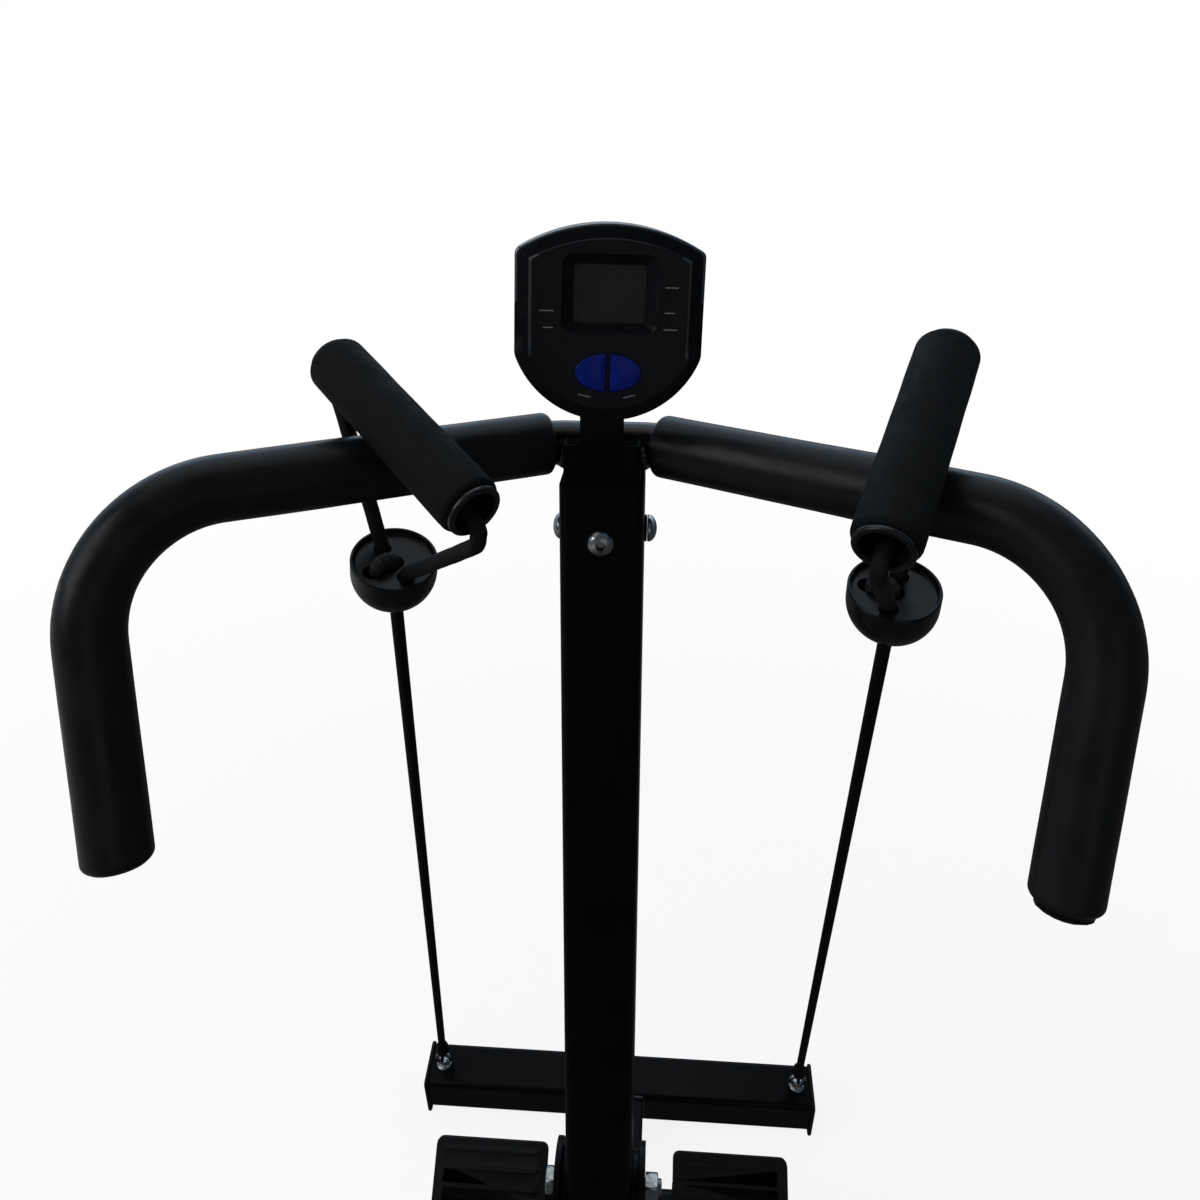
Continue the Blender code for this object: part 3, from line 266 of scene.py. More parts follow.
def sampled(path, distances):
    # points and tangents at distances along a dense path; a tangent spans 0.2 mm to both sides
    run = runLength(path)
    d, step = np.asarray(distances, float), 2e-4
    points, ahead, behind = (
        np.stack([np.interp(at, run, path[:, k]) for k in range(3)], -1) for at in (d, d + step, d - step)
    )
    return points, unit(ahead - behind)


def roundRectangle(width, height, radius, steps=8, support=0.0):
    # points round a rectangle with quarter-round corners; support adds a point just inside each flat's end
    inner = np.array([width / 2 - radius, height / 2 - radius])
    centres = inner * [(1, 1), (-1, 1), (-1, -1), (1, -1)]
    rows = []
    for k, centre in enumerate(centres):
        turn = k * math.pi / 2 + quarter(steps)
        rows.append(centre + radius * np.stack([np.cos(turn), np.sin(turn)], -1))
        if support:
            end = turn[-1]
            out = radius * np.array([math.cos(end), math.sin(end)])
            leave = support * np.array([-math.sin(end), math.cos(end)])
            rows.append([centre + out + leave, centres[(k + 1) % 4] + out - leave])
    return np.vstack(rows)


def baked(piece):
    # the modifiers' result becomes the mesh
    graph = bpy.context.evaluated_depsgraph_get()
    graph.update()
    result = bpy.data.meshes.new_from_object(piece.evaluated_get(graph))
    piece.modifiers.clear()
    piece.data = result


def carve(piece, cutters):
    # the cutters' shapes are taken out of the piece, and the cutters are removed
    for cutter in cutters:
        step = piece.modifiers.new("carve", "BOOLEAN")
        step.operation, step.solver, step.object = "DIFFERENCE", "EXACT", cutter
    bpy.context.view_layer.update()
    baked(piece)
    for cutter in cutters:
        bpy.data.objects.remove(cutter, do_unlink=True)


def sharpenBy(piece, angle):
    # smooth shading, with edges sharp where they turn by more than the angle
    piece.data.shade_smooth()
    piece.data.set_sharp_from_angle(angle=math.radians(angle))


def dressed(name, finish, bevel, segments=2):
    # a merged copy of a CAD node with soft edges, standing for the node
    mesh = bpy.data.meshes.new(name + "Dressed")
    bm = bmesh.new()
    bm.from_mesh(nodes[name].data)
    bmesh.ops.remove_doubles(bm, verts=bm.verts, dist=2e-6)
    bmesh.ops.dissolve_limit(bm, angle_limit=math.radians(0.6), verts=bm.verts, edges=bm.edges)
    bm.to_mesh(mesh)
    bm.free()
    mesh.materials.clear()
    mesh.materials.append(finish)
    piece = bpy.data.objects.new(name + "Dressed", mesh)
    bpy.context.collection.objects.link(piece)
    sharpDegrees = 30
    sharpenBy(piece, sharpDegrees)
    step = piece.modifiers.new("softEdges", "BEVEL")
    step.width, step.segments, step.limit_method = bevel, segments, "ANGLE"
    step.angle_limit = math.radians(sharpDegrees)
    step.harden_normals = step.use_clamp_overlap = True
    step.miter_outer = "MITER_ARC"
    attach(piece, bodyOf[name])
    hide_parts(name)


# node helpers


def feed(tree, socket, value):
    # a link from another socket, or a plain value
    if isinstance(value, bpy.types.NodeSocket):
        tree.links.new(value, socket)
    else:
        socket.default_value = value


def node(tree, kind, inputs=None, **settings):
    # a node with its settings, then with its inputs fed
    made = tree.nodes.new(kind)
    for key, value in settings.items():
        setattr(made, key, value)
    for key, value in (inputs or {}).items():
        feed(tree, made.inputs[key], value)
    return made


def objectPlace(tree):
    # places on the object in metres
    return node(tree, "ShaderNodeTexCoord").outputs["Object"]


def mathNode(tree, operation, *values):
    # the operation's result for one, two or three values or sockets
    return node(tree, "ShaderNodeMath", dict(enumerate(values)), operation=operation).outputs[0]


def mapped(tree, value, low, high, toLow=0.0, toHigh=1.0, kind="LINEAR"):
    # toLow to toHigh as the value goes from low to high
    limits = {"Value": value, "From Min": low, "From Max": high, "To Min": toLow, "To Max": toHigh}
    return node(tree, "ShaderNodeMapRange", limits, interpolation_type=kind).outputs["Result"]


def mixed(tree, factor, first, second, kind="RGBA"):
    # from the first to the second, colours or plain values, as the factor goes from 0 to 1
    return node(tree, "ShaderNodeMix", {"Factor": factor, "A": first, "B": second}, data_type=kind).outputs["Result"]


def noise(tree, place, scale, **more):
    return node(tree, "ShaderNodeTexNoise", {"Vector": place, "Scale": scale, **more}).outputs["Fac"]


def shade(colour):
    return (*colour, 1.0)


# node groups shared by the finishes


def nodeGroup(name, inputs, outputs):
    # an empty group; an input is a colour where its plain value has four numbers
    group = bpy.data.node_groups.new(name, "ShaderNodeTree")
    for label, value in inputs.items():
        kind = "NodeSocketColor" if np.size(value) == 4 else "NodeSocketFloat"
        group.interface.new_socket(name=label, in_out="INPUT", socket_type=kind).default_value = value
    for label, kind in outputs.items():
        group.interface.new_socket(name=label, in_out="OUTPUT", socket_type="NodeSocket" + kind)
    return group, group.nodes.new("NodeGroupInput").outputs, group.nodes.new("NodeGroupOutput").inputs


def driftGroup():
    # slow change from Color to Other over a surface, in patches of about 1/Scale metres
    inputs = {"Color": shade((0.5, 0.5, 0.5)), "Other": shade((0.6, 0.6, 0.6)), "Scale": 20.0}
    group, enter, leave = nodeGroup("colourDrift", inputs, {"Color": "Color", "Mask": "Float"})
    patches = noise(group, objectPlace(group), enter["Scale"], Detail=5.0, Roughness=0.6)
    mask = mapped(group, patches, 0.35, 0.65)
    feed(group, leave["Color"], mixed(group, mask, enter["Color"], enter["Other"]))
    feed(group, leave["Mask"], mask)
    return group


def grainGroup():
    # fine relief: cells of 1/Scale metres mixed with noise of the same size, and Pits where it is low
    inputs = {"Scale": 1500.0, "Cells": 0.5}
    group, enter, leave = nodeGroup("fineGrain", inputs, {"Height": "Float", "Pits": "Float"})
    place = objectPlace(group)
    cells = node(group, "ShaderNodeTexVoronoi", {"Vector": place, "Scale": enter["Scale"]}).outputs["Distance"]
    fine = noise(group, place, enter["Scale"], Detail=3.0)
    height = mixed(group, enter["Cells"], fine, cells, "FLOAT")
    feed(group, leave["Height"], height)
    feed(group, leave["Pits"], mapped(group, height, 0.55, 0.15))
    return group


def scuffGroup():
    # thin marks: noise drawn out along one axis, kept only where a second noise is high
    group, enter, leave = nodeGroup("lightScuffs", {"Scale": 60.0, "Amount": 0.5}, {"Mask": "Float"})
    place = objectPlace(group)
    turn = {"Vector": place, "Rotation": (0.4, 0.7, 0.3), "Scale": (1.0, 14.0, 3.0)}
    drawn = node(group, "ShaderNodeMapping", turn).outputs["Vector"]
    lines = mapped(group, noise(group, drawn, enter["Scale"], Detail=4.0), 0.60, 0.72)
    where = mapped(group, noise(group, place, 25.0), 0.48, 0.62)
    feed(group, leave["Mask"], mathNode(group, "MULTIPLY", mathNode(group, "MULTIPLY", lines, where), enter["Amount"]))
    return group


def braidGroup():
    # two sets of slanted ridges round a cord, from its own pattern coordinates (turns, metres)
    inputs = {"Strands": 8.0, "Pitch": 0.012}
    group, enter, leave = nodeGroup("braid", inputs, {"Height": "Float", "Mask": "Float"})
    place = node(group, "ShaderNodeUVMap", uv_map="pattern").outputs["UV"]
    split = node(group, "ShaderNodeSeparateXYZ", {0: place}).outputs
    around = mathNode(group, "MULTIPLY", split["X"], enter["Strands"])
    along = mathNode(group, "DIVIDE", split["Y"], enter["Pitch"])
    ridges = []
    for way in ("ADD", "SUBTRACT"):
        slant = mathNode(group, way, around, along)
        ridges.append(mathNode(group, "SINE", mathNode(group, "MULTIPLY", slant, math.tau)))
    height = mathNode(group, "MULTIPLY_ADD", mathNode(group, "MULTIPLY", *ridges), 0.5, 0.5)
    feed(group, leave["Height"], height)
    # the mask is low between the strands, where the cord finish paints its shade
    feed(group, leave["Mask"], mathNode(group, "POWER", height, 2.0))
    return group


groups = {"drift": driftGroup(), "grain": grainGroup(), "scuffs": scuffGroup(), "braid": braidGroup()}
print("node groups made")

# finishes


def useGroup(tree, which, **values):
    return node(tree, "ShaderNodeGroup", values, node_tree=groups[which]).outputs


def surface(name, roughness, specular, **plain):
    # a material and its Principled shader's sockets; plain values go on the sockets themselves
    made = bpy.data.materials.new(name)
    made.use_nodes = True
    tree = made.node_tree
    shader = tree.nodes["Principled BSDF"].inputs
    for key, value in {"Roughness": roughness, "Specular IOR Level": specular, **plain}.items():
        shader[key].default_value = value
    return made, tree, shader


def relief(tree, shader, *bumps):
    # bumps one on another, each a height socket, its depth in metres and its strength
    below = {}
    for height, depth, strength in bumps:
        bump = node(tree, "ShaderNodeBump", {"Height": height, "Distance": depth, "Strength": strength, **below})
        below = {"Normal": bump.outputs["Normal"]}
    feed(tree, shader["Normal"], below["Normal"])


def variedRoughness(tree, shader, source, low, high):
    # from low to high as the source goes from 0 to 1
    feed(tree, shader["Roughness"], mapped(tree, source, 0.0, 1.0, low, high))


def plainFinish(name, colour, other, patches, roughness, grains, cells, depth, strength, specular, spread=0.08):
    # a drifting colour with a fine relief, rougher in the patches of the other colour
    made, tree, shader = surface(name, roughness, specular)
    drift = useGroup(tree, "drift", Color=shade(colour), Other=shade(other), Scale=patches)
    grain = useGroup(tree, "grain", Scale=grains, Cells=cells)
    feed(tree, shader["Base Color"], drift["Color"])
    variedRoughness(tree, shader, drift["Mask"], roughness - spread, roughness + spread)
    relief(tree, shader, (grain["Height"], depth, strength))
    return made


def cordFinish(name, colour, other, strands, pitch, depth):
    # a braided cover, with the other, darker colour painted between its strands as shade
    made, tree, shader = surface(name, 0.62, 0.07)
    braid = useGroup(tree, "braid", Strands=strands, Pitch=pitch)
    grain = useGroup(tree, "grain", Scale=3500.0, Cells=0.2)
    # painted shade: the darker colour goes where the braid's mask is low, down between the strands
    feed(tree, shader["Base Color"], mixed(tree, braid["Mask"], shade(other), shade(colour)))
    relief(tree, shader, (braid["Height"], depth, 0.8), (grain["Height"], 0.00008, 0.4))
    variedRoughness(tree, shader, braid["Mask"], 0.72, 0.55)
    return made


def zincFinish(name, colour, roughness):
    # a plated metal with darker patches and bright scuffs
    made, tree, shader = surface(name, roughness, 0.5, Metallic=1.0)
    drift = useGroup(tree, "drift", Color=shade(colour), Other=shade([c * 0.72 for c in colour]), Scale=260.0)
    scuffs = useGroup(tree, "scuffs", Scale=400.0, Amount=0.8)
    grain = useGroup(tree, "grain", Scale=1500.0, Cells=0.2)
    bright = shade([min(1, c * 1.3) for c in colour])
    feed(tree, shader["Base Color"], mixed(tree, scuffs["Mask"], drift["Color"], bright))
    variedRoughness(tree, shader, drift["Mask"], roughness - 0.08, roughness + 0.12)
    relief(tree, shader, (grain["Height"], 0.00004, 0.5))
    return made


def vinylFinish(name, colour, other):
    # a pebbled cover over soft folds, rougher in its pits
    made, tree, shader = surface(name, 0.45, 0.16)
    drift = useGroup(tree, "drift", Color=shade(colour), Other=shade(other), Scale=16.0)
    grain = useGroup(tree, "grain", Scale=520.0, Cells=0.85)
    fold = useGroup(tree, "grain", Scale=38.0, Cells=0.1)
    feed(tree, shader["Base Color"], drift["Color"])
    variedRoughness(tree, shader, grain["Pits"], 0.38, 0.58)
    relief(tree, shader, (fold["Height"], 0.0012, 0.25), (grain["Height"], 0.00025, 0.6))
    return made


def glassFinish(name, colour, other):
    # a clear window: mostly see-through, with its own shine
    made, tree, shader = surface(name, 0.06, 0.30, Alpha=0.12)
    drift = useGroup(tree, "drift", Color=shade(colour), Other=shade(other), Scale=40.0)
    feed(tree, shader["Base Color"], drift["Color"])
    variedRoughness(tree, shader, drift["Mask"], 0.04, 0.09)
    return made


# colour, other colour, patches to a metre, roughness; grains to a metre, share of cells, depth and strength
# of the relief; specular level and, where given, how far the roughness spreads
plainFinishes = {
    "powderCoat": ((0.0012, 0.0012, 0.0016), (0.0018, 0.0018, 0.0022), 30, 0.32, 700, 0.2, 0.00005, 0.30, 0.05),
    "tubeCoat": ((0.0014, 0.0015, 0.0018), (0.0020, 0.0021, 0.0025), 40, 0.20, 700, 0.2, 0.00004, 0.20, 0.16),
    "weldCoat": ((0.0013, 0.0013, 0.0016), (0.0020, 0.0020, 0.0023), 150, 0.24, 500, 0.3, 0.00010, 0.35, 0.28),
    "stubCoat": ((0.0013, 0.0013, 0.0016), (0.0020, 0.0020, 0.0023), 40, 0.50, 700, 0.2, 0.00005, 0.30, 0.012),
    "barFoam": ((0.0042, 0.0046, 0.0053), (0.0059, 0.0063, 0.0072), 45, 0.34, 1500, 0.6, 0.00012, 0.35, 0.085),
    "gripFoam": ((0.0032, 0.0038, 0.0042), (0.0045, 0.0052, 0.0056), 90, 0.74, 1300, 0.7, 0.00045, 0.75, 0.06),
    "gripPlastic": ((0.0030, 0.0034, 0.0038), (0.0042, 0.0047, 0.0051), 90, 0.30, 1500, 0.5, 0.00004, 0.25, 0.2),
    "caseFront": ((0.0024, 0.0028, 0.0037), (0.0032, 0.0036, 0.0046), 60, 0.24, 2600, 0.3, 0.00003, 0.20, 0.06),
    "caseBack": ((0.0028, 0.0031, 0.0038), (0.0036, 0.0040, 0.0048), 60, 0.20, 1800, 0.6, 0.00003, 0.20, 0.45),
    "caseEdge": ((0.0028, 0.0031, 0.0038), (0.0036, 0.0040, 0.0048), 60, 0.20, 1800, 0.6, 0.00003, 0.20, 1.0),
    "moulded": ((0.0033, 0.0033, 0.0037), (0.0048, 0.0048, 0.0054), 60, 0.48, 1400, 0.5, 0.00006, 0.35, 0.04),
    "cupPlastic": ((0.0030, 0.0036, 0.0044), (0.0042, 0.0049, 0.0058), 60, 0.28, 1700, 0.4, 0.00003, 0.22, 0.1),
    "keyBlue": ((0.0024, 0.0075, 0.1050), (0.0033, 0.0093, 0.1290), 90, 0.22, 2400, 0.3, 0.00003, 0.2, 0.06),
    "rubber": ((0.0042, 0.0042, 0.0045), (0.0062, 0.0062, 0.0066), 50, 0.66, 900, 0.5, 0.00012, 0.45, 0.10),
    "board": ((0.010, 0.060, 0.020), (0.014, 0.075, 0.026), 80, 0.45, 900, 0.2, 0.00005, 0.3, 0.5),
    "displayGrey": ((0.0056, 0.0084, 0.0046), (0.0062, 0.0092, 0.0050), 12, 0.50, 3000, 0.1, 0.00001, 0.05, 0.02, 0.03),
    "pedalPlastic": ((0.0034, 0.0035, 0.0040), (0.0048, 0.0049, 0.0055), 60, 0.48, 1100, 0.5, 0.00010, 0.4, 0.12),
    "print": ((0.105, 0.110, 0.120), (0.130, 0.135, 0.145), 300, 0.5, 3000, 0.2, 0.00001, 0.1, 0.2),
}
# colour, darker colour painted between the strands as shade, strands round the cord, metres to a turn, depth of the
# relief
cordFinishes = {
    "cordCover": ((0.0036, 0.0036, 0.0040), (0.0012, 0.0012, 0.0014), 8, 0.009, 0.0004),
    "ropeCover": ((0.0290, 0.0320, 0.0340), (0.0110, 0.0120, 0.0130), 9, 0.006, 0.0005),
    "strapCover": ((0.0062, 0.0064, 0.0070), (0.0042, 0.0043, 0.0048), 12, 0.004, 0.00015),
    "thread": ((0.0180, 0.0180, 0.0190), (0.0120, 0.0120, 0.0130), 4, 0.001, 0.00003),
}
finishes = {name: plainFinish(name, *row) for name, row in plainFinishes.items()}
finishes |= {name: cordFinish(name, *row) for name, row in cordFinishes.items()}
finishes["zinc"] = zincFinish("zinc", (0.27, 0.28, 0.28), 0.26)
finishes["vinyl"] = vinylFinish("saddleVinyl", (0.0048, 0.0048, 0.0053), (0.0070, 0.0070, 0.0076))
finishes["glass"] = glassFinish("displayWindow", (0.010, 0.013, 0.009), (0.014, 0.017, 0.012))
print("finishes made:", len(finishes))

# floor, world and lights

studio = {
    "worldForObject": 0.30,
    "shineAround": 0.20, "shineAhead": 2.0, "aheadSpan": (0.25, 0.92),  # what shines, towards the machine's front
    "shineLeft": 0.55, "leftSpan": (-0.95, -0.55), "shineTint": (0.62, 0.82, 1.0),
    "floorShine": 0.10, "floorShineLeft": 0.5, "floorLeftSpan": (-1.5, -0.4),
    "floorHalf": 30, "floorColour": (0.88, 0.88, 0.88), "floorLift": (0.86, 1.0), "liftSpan": (0.7, 2.2),
    "lamps": {  # place, target, width and depth, power
        "windowLight": ((-1.9, -0.5, 2.3), (0, 0.3, 0.9), (1.5, 1.5), 30),
        "ceilingLight": ((-0.3, 1.2, 3.2), (0, 0.2, 0.6), (2.6, 2.0), 20),
        "frontFill": ((0.9, -2.6, 1.7), (0, 0.3, 0.9), (1.6, 1.6), 5),
    },
}


def rayMasks(tree):
    # the shining rays, and those that the camera or a clear window sends
    rays = node(tree, "ShaderNodeLightPath").outputs
    return rays["Is Glossy Ray"], mathNode(tree, "MAXIMUM", rays["Is Camera Ray"], rays["Is Transmission Ray"])


def smoothly(tree, value, span, low, high):
    return mapped(tree, value, *span, low, high, "SMOOTHSTEP")


def addWorld():
    # white for the camera; what shines shows a bluish window low in front of the machine and a dim room round it
    world = bpy.data.worlds.new("studio")
    bpy.context.scene.world = world
    world.use_nodes = True
    tree = world.node_tree
    tree.nodes.clear()
    glossy, seen = rayMasks(tree)
    way = node(tree, "ShaderNodeSeparateXYZ", {0: node(tree, "ShaderNodeTexCoord").outputs["Generated"]}).outputs
    ahead = smoothly(tree, way["Y"], studio["aheadSpan"], studio["shineAround"], studio["shineAhead"])
    window = mathNode(tree, "MAXIMUM", ahead, smoothly(tree, way["X"], studio["leftSpan"], studio["shineLeft"], 0.0))
    shine = mathNode(tree, "MULTIPLY", glossy, window)
    plain = mathNode(tree, "SUBTRACT", 1.0, mathNode(tree, "MAXIMUM", seen, glossy))
    dim = mathNode(tree, "MULTIPLY", plain, studio["worldForObject"])
    strength = mathNode(tree, "ADD", mathNode(tree, "MAXIMUM", seen, shine), dim)
    tint = mixed(tree, glossy, shade((1, 1, 1)), shade(studio["shineTint"]))
    soft = node(tree, "ShaderNodeBackground", {"Color": tint, "Strength": strength})
    node(tree, "ShaderNodeOutputWorld", {0: soft.outputs[0]})


def addFloor():
    # pale and matt under the object; the camera sees it lifted to white far away, and what shines sees it dim
    floor = bpy.data.materials.new("paleFloor")
    floor.use_nodes = True
    tree = floor.node_tree
    tree.nodes.clear()
    glossy, seen = rayMasks(tree)
    place = objectPlace(tree)
    away = node(tree, "ShaderNodeVectorMath", {0: place}, operation="LENGTH").outputs["Value"]
    lift = smoothly(tree, away, studio["liftSpan"], *studio["floorLift"])
    across = node(tree, "ShaderNodeSeparateXYZ", {0: place}).outputs["X"]
    side = smoothly(tree, across, studio["floorLeftSpan"], studio["floorShineLeft"], studio["floorShine"])
    strength = mathNode(tree, "ADD", seen, mathNode(tree, "MULTIPLY", glossy, side))
    share = mathNode(tree, "MAXIMUM", mathNode(tree, "MULTIPLY", seen, lift), glossy)
    matte = node(tree, "ShaderNodeBsdfDiffuse", {"Color": shade(studio["floorColour"])})
    glow = node(tree, "ShaderNodeEmission", {"Strength": strength})
    mix = node(tree, "ShaderNodeMixShader", {0: share, 1: matte.outputs[0], 2: glow.outputs[0]})
    node(tree, "ShaderNodeOutputMaterial", {0: mix.outputs[0]})
    h = studio["floorHalf"]
    corners = [(-h, -h, 0), (h, -h, 0), (h, h, 0), (-h, h, 0)]
    meshPiece("floor", corners, [(0, 1, 2, 3)], floor, None, smooth=False)


def addLamps():
    for name, (place, target, size, power) in studio["lamps"].items():
        data = bpy.data.lights.new(name, "AREA")
        data.shape = "RECTANGLE"
        data.size, data.size_y = size
        data.energy = power
        lamp = bpy.data.objects.new(name, data)
        lamp.location = place
        lamp.rotation_euler = (Vector(target) - Vector(place)).to_track_quat("-Z", "Y").to_euler()
        bpy.context.collection.objects.link(lamp)


addWorld()
addFloor()
addLamps()
bpy.context.scene.view_settings.view_transform = "Standard"
print("studio ready")

# handlebar

bar = {
    "forward": 0.0060, "middleHalf": 0.0214, "middleBend": 0.0300, "sweep": 0.5808, "rise": 0.0228,
    "sideLength": 0.2611, "cornerBend": 0.0693, "legInward": 0.1238, "legBack": 0.2551, "legLength": 0.1740,
    "pastEnd": 0.008, "tubeRadius": 0.0135, "tubeSides": 56, "tubeRings": 320, "tubeStart": (0, 0.6, 0.8),
    "foamStart": 0.0334, "foamRound": 0.0048, "foamBore": 0.0139, "foamFace": 0.0009, "foamStep": 0.003,
    "foamInner": 0.0188, "foamMiddle": 0.0185, "foamLeg": 0.0171, "innerEase": 0.085, "bendBefore": 0.12,
    "bendAfter": 0.03, "leftExtra": 0.0032, "rightExtra": -0.0011, "foamSides": 72, "unevenness": 0.004,
}


def barHalf(side):
    # centre line from the middle of the bar to just past the end of one leg
    sweep, rise, inward, back = (bar[k] for k in ("sweep", "rise", "legInward", "legBack"))
    out = np.array([math.cos(sweep) * math.cos(rise), -math.sin(sweep) * math.cos(rise), math.sin(rise)])
    down = np.array([-math.sin(inward) * math.cos(back), -math.sin(back), -math.cos(inward) * math.cos(back)])
    start = np.array([0, bar["forward"], 0])
    first = start + [bar["middleHalf"] + bar["middleBend"] * math.tan(sweep / 2), 0, 0]
    second = first + out * bar["sideLength"]
    third = second + down * bar["legLength"]
    path = filletPath([start, first, second, third], [bar["middleBend"], bar["cornerBend"]])
    length = runLength(path)[-1]
    path = np.vstack([path, third + down * bar["pastEnd"]])
    return path * np.array([side, 1, 1]), length


def addBarFoam(name, side, replaced):
    # rings along the half bar: flat end, quarter round, sleeve, quarter round, flat end, then back through the bore
    path, end = barHalf(side)
    bendEnd = end - bar["legLength"] + bar["bendAfter"]
    end += bar["leftExtra"] if side < 0 else bar["rightExtra"]
    start, rr, bore, face = bar["foamStart"], bar["foamRound"], bar["foamBore"], bar["foamFace"]
    turn = quarter(10)
    head = start + rr * (1 - np.cos(turn))
    middle = np.arange(start + rr + 0.002, end - rr - 0.002, bar["foamStep"])
    tail = end - rr * (1 - np.cos(turn))[::-1]
    distance = np.concatenate([[start, start], head, middle, tail, [end, end]])
    stations = [start, start + bar["innerEase"], bendEnd - bar["bendBefore"], bendEnd, end]
    widths = [bar["foam" + k] for k in ("Inner", "Middle", "Middle", "Leg", "Leg")]
    full = np.interp(distance, stations, widths)
    drop = rr * (1 - np.sin(turn))  # how far a ring lies below the sleeve; without end at the bore
    drop = np.concatenate([[math.inf, rr + face], drop, 0 * middle, drop[::-1], [rr + face, math.inf]])
    back = np.linspace(end, start, 24)[1:-1]
    radius = np.concatenate([np.where(np.isinf(drop), bore, full - drop), np.full(len(back), bore)])
    distance = np.concatenate([distance, back])
    centres, tangents = sampled(path, distance)
    d, angle = distance[:, None], circle(bar["foamSides"])[None]
    swell = 1 + bar["unevenness"] * np.sin(d * 61 + 2 * np.sin(angle)) * np.sin(d * 23 + side)
    radii = radius[:, None] * np.where((radius > bore)[:, None], swell, 1)
    points = ringTube(centres, tangents, radii, bar["foamSides"], bar["tubeStart"])
    lofted(name, points, bar["foamSides"], barFrame, finishes["barFoam"], "mast", closedRows=True,
           replaces=[replaced], slot="bar_foam")


def addBarTube():
    # a round tube along both halves of the bar
    left, right = (barHalf(side)[0] for side in (-1, 1))
    whole = np.vstack([left[-2::-1], right[1:-1]])
    centres, tangents = sampled(whole, np.linspace(0, runLength(whole)[-1], bar["tubeRings"]))
    radii = np.full(bar["tubeRings"], bar["tubeRadius"])
    points = ringTube(centres, tangents, radii, bar["tubeSides"], bar["tubeStart"])
    lofted("barTube", points, bar["tubeSides"], barFrame, finishes["tubeCoat"], "mast",
           replaces=["handlebar"], slot="paint")


stub = {
    "side": 0.0454, "corner": 0.0045, "leastCorner": 0.0016, "wall": 0.0020, "depth": 0.110, "top": 0.0075,
    "edge": 0.0017, "flare": 0.0022, "flareLength": 0.0066, "sink": 0.0006, "swell": 0.0010,
    "lowShare": 0.82, "ripples": 30, "rippleHeight": 0.00028, "seamSides": 180,
}


def addStub():
    # a square tube: up its outside, with a ring part way and one close to the rim, over the rim and down its inside
    turn = quarter(8)
    edge, wall, top, low = stub["edge"], stub["wall"], stub["top"], -stub["depth"]
    inset = np.concatenate([[0, 0, 0], edge * (1 - np.cos(turn)), [wall, wall]])
    rim = top - edge + edge * np.sin(turn)
    level = np.concatenate([[low, -0.05, rim[0] - 0.0005], rim, [top - 0.0006, low]])
    side, corner, least = stub["side"], stub["corner"], stub["leastCorner"]
    curves = [roundRectangle(side - 2 * i, side - 2 * i, max(least, corner - i), 8, 0.0006) for i in inset]
    stacked("postStub", curves, level, barFrame, finishes["stubCoat"], "mast", closedRows=True,
            replaces=["handlebar"], slot="paint")


def addWeld(name, side):
    # rings about the tube that swell towards the stub on their lower half, with the small ripples of a weld run
    share = np.linspace(0, 1, 22)[:, None]
    distance = stub["side"] / 2 - stub["sink"] + stub["flareLength"] * share
    angle = circle(stub["seamSides"])[None]
    low = eased(np.clip(0.45 - np.sin(angle), 0, 1))
    flare = stub["flare"] * (1 - share) ** 1.7 + stub["swell"] * np.sin(math.pi * share)
    ripple = np.sin(stub["ripples"] * angle + 5 * share) * np.sin(math.pi * np.clip(share * 1.4, 0, 1))
    raised = (flare + stub["rippleHeight"] * ripple) * (1 - stub["lowShare"] * (1 - low))
    radius = bar["tubeRadius"] - 0.0004 + raised
    across, over = radius * np.cos(angle), radius * np.sin(angle)
    points = np.stack([side * distance + 0 * radius, bar["forward"] + across, over - stub["sink"] * low], -1)
    lofted(name, points, stub["seamSides"], barFrame, finishes["weldCoat"], "mast",
           replaces=["handlebar"], slot="paint")


addBarTube()
addStub()
for word, side in hands:
    addWeld(word + "Weld", side)
for word, side in hands:
    addBarFoam(word + "FoamSleeve", side, word + "_bar_foam")
print("handlebar done")

# post

post = {
    "rimBelowBar": 0.017, "belowPivot": 0.045, "corner": 0.0046, "leastCorner": 0.002, "wall": 0.0020, "edge": 0.0006,
    "bushRadius": 0.013, "bushBore": 0.0064, "bushHalf": 0.0300, "bushEdge": 0.0005,
}


def crossAxis(place):
    # a frame whose z runs across the machine, to the rider's right
    return frameAt(place, (0, 1, 0), (0, 0, 1), (1, 0, 0))


def addPost():
    # a square tube from below the pivot to its rim under the handlebar, and the pivot's cross tube
    turn = quarter(6)
    top, low, edge, wall = -post["rimBelowBar"], -barReach - post["belowPivot"], post["edge"], post["wall"]
    inset = np.concatenate([[0, 0, 0, 0], edge * (1 - np.cos(turn)), [wall, wall]])
    rim = top - edge + edge * np.sin(turn)
    level = np.concatenate([[low, low + 0.01, -0.3, rim[0] - 0.0005], rim, [top - 0.0004, low]])
    size, corner, least = layout["postSize"], post["corner"], post["leastCorner"]
    curves = [roundRectangle(size - 2 * i, size - 2 * i, max(least, corner - i), 9, 0.0008) for i in inset]
    stacked("mastTube", curves, level, barFrame, finishes["powderCoat"], "mast", closedRows=True,
            replaces=["mast_post"], slot="paint")
    half, radius, bore, edge = (post["bush" + k] for k in ("Half", "Radius", "Bore", "Edge"))
    side = [(bore, -half), (radius - edge, -half), (radius, -half + edge)]
    profile = side + [(r, -z) for r, z in reversed(side)]
    turned("mastBush", profile, 64, crossAxis(mastPivot), finishes["powderCoat"], "mast", closedRows=True,
           replaces=["mast_post"], slot="paint")


addPost()
print("post done")

# loops


def evenLoop(points, count):
    # a closed loop with its points spread evenly along it
    closed = np.vstack([points, points[:1]])
    run = runLength(closed)
    d = np.linspace(0, run[-1], count, endpoint=False)
    return np.stack([np.interp(d, run, closed[:, k]) for k in range(2)], -1)


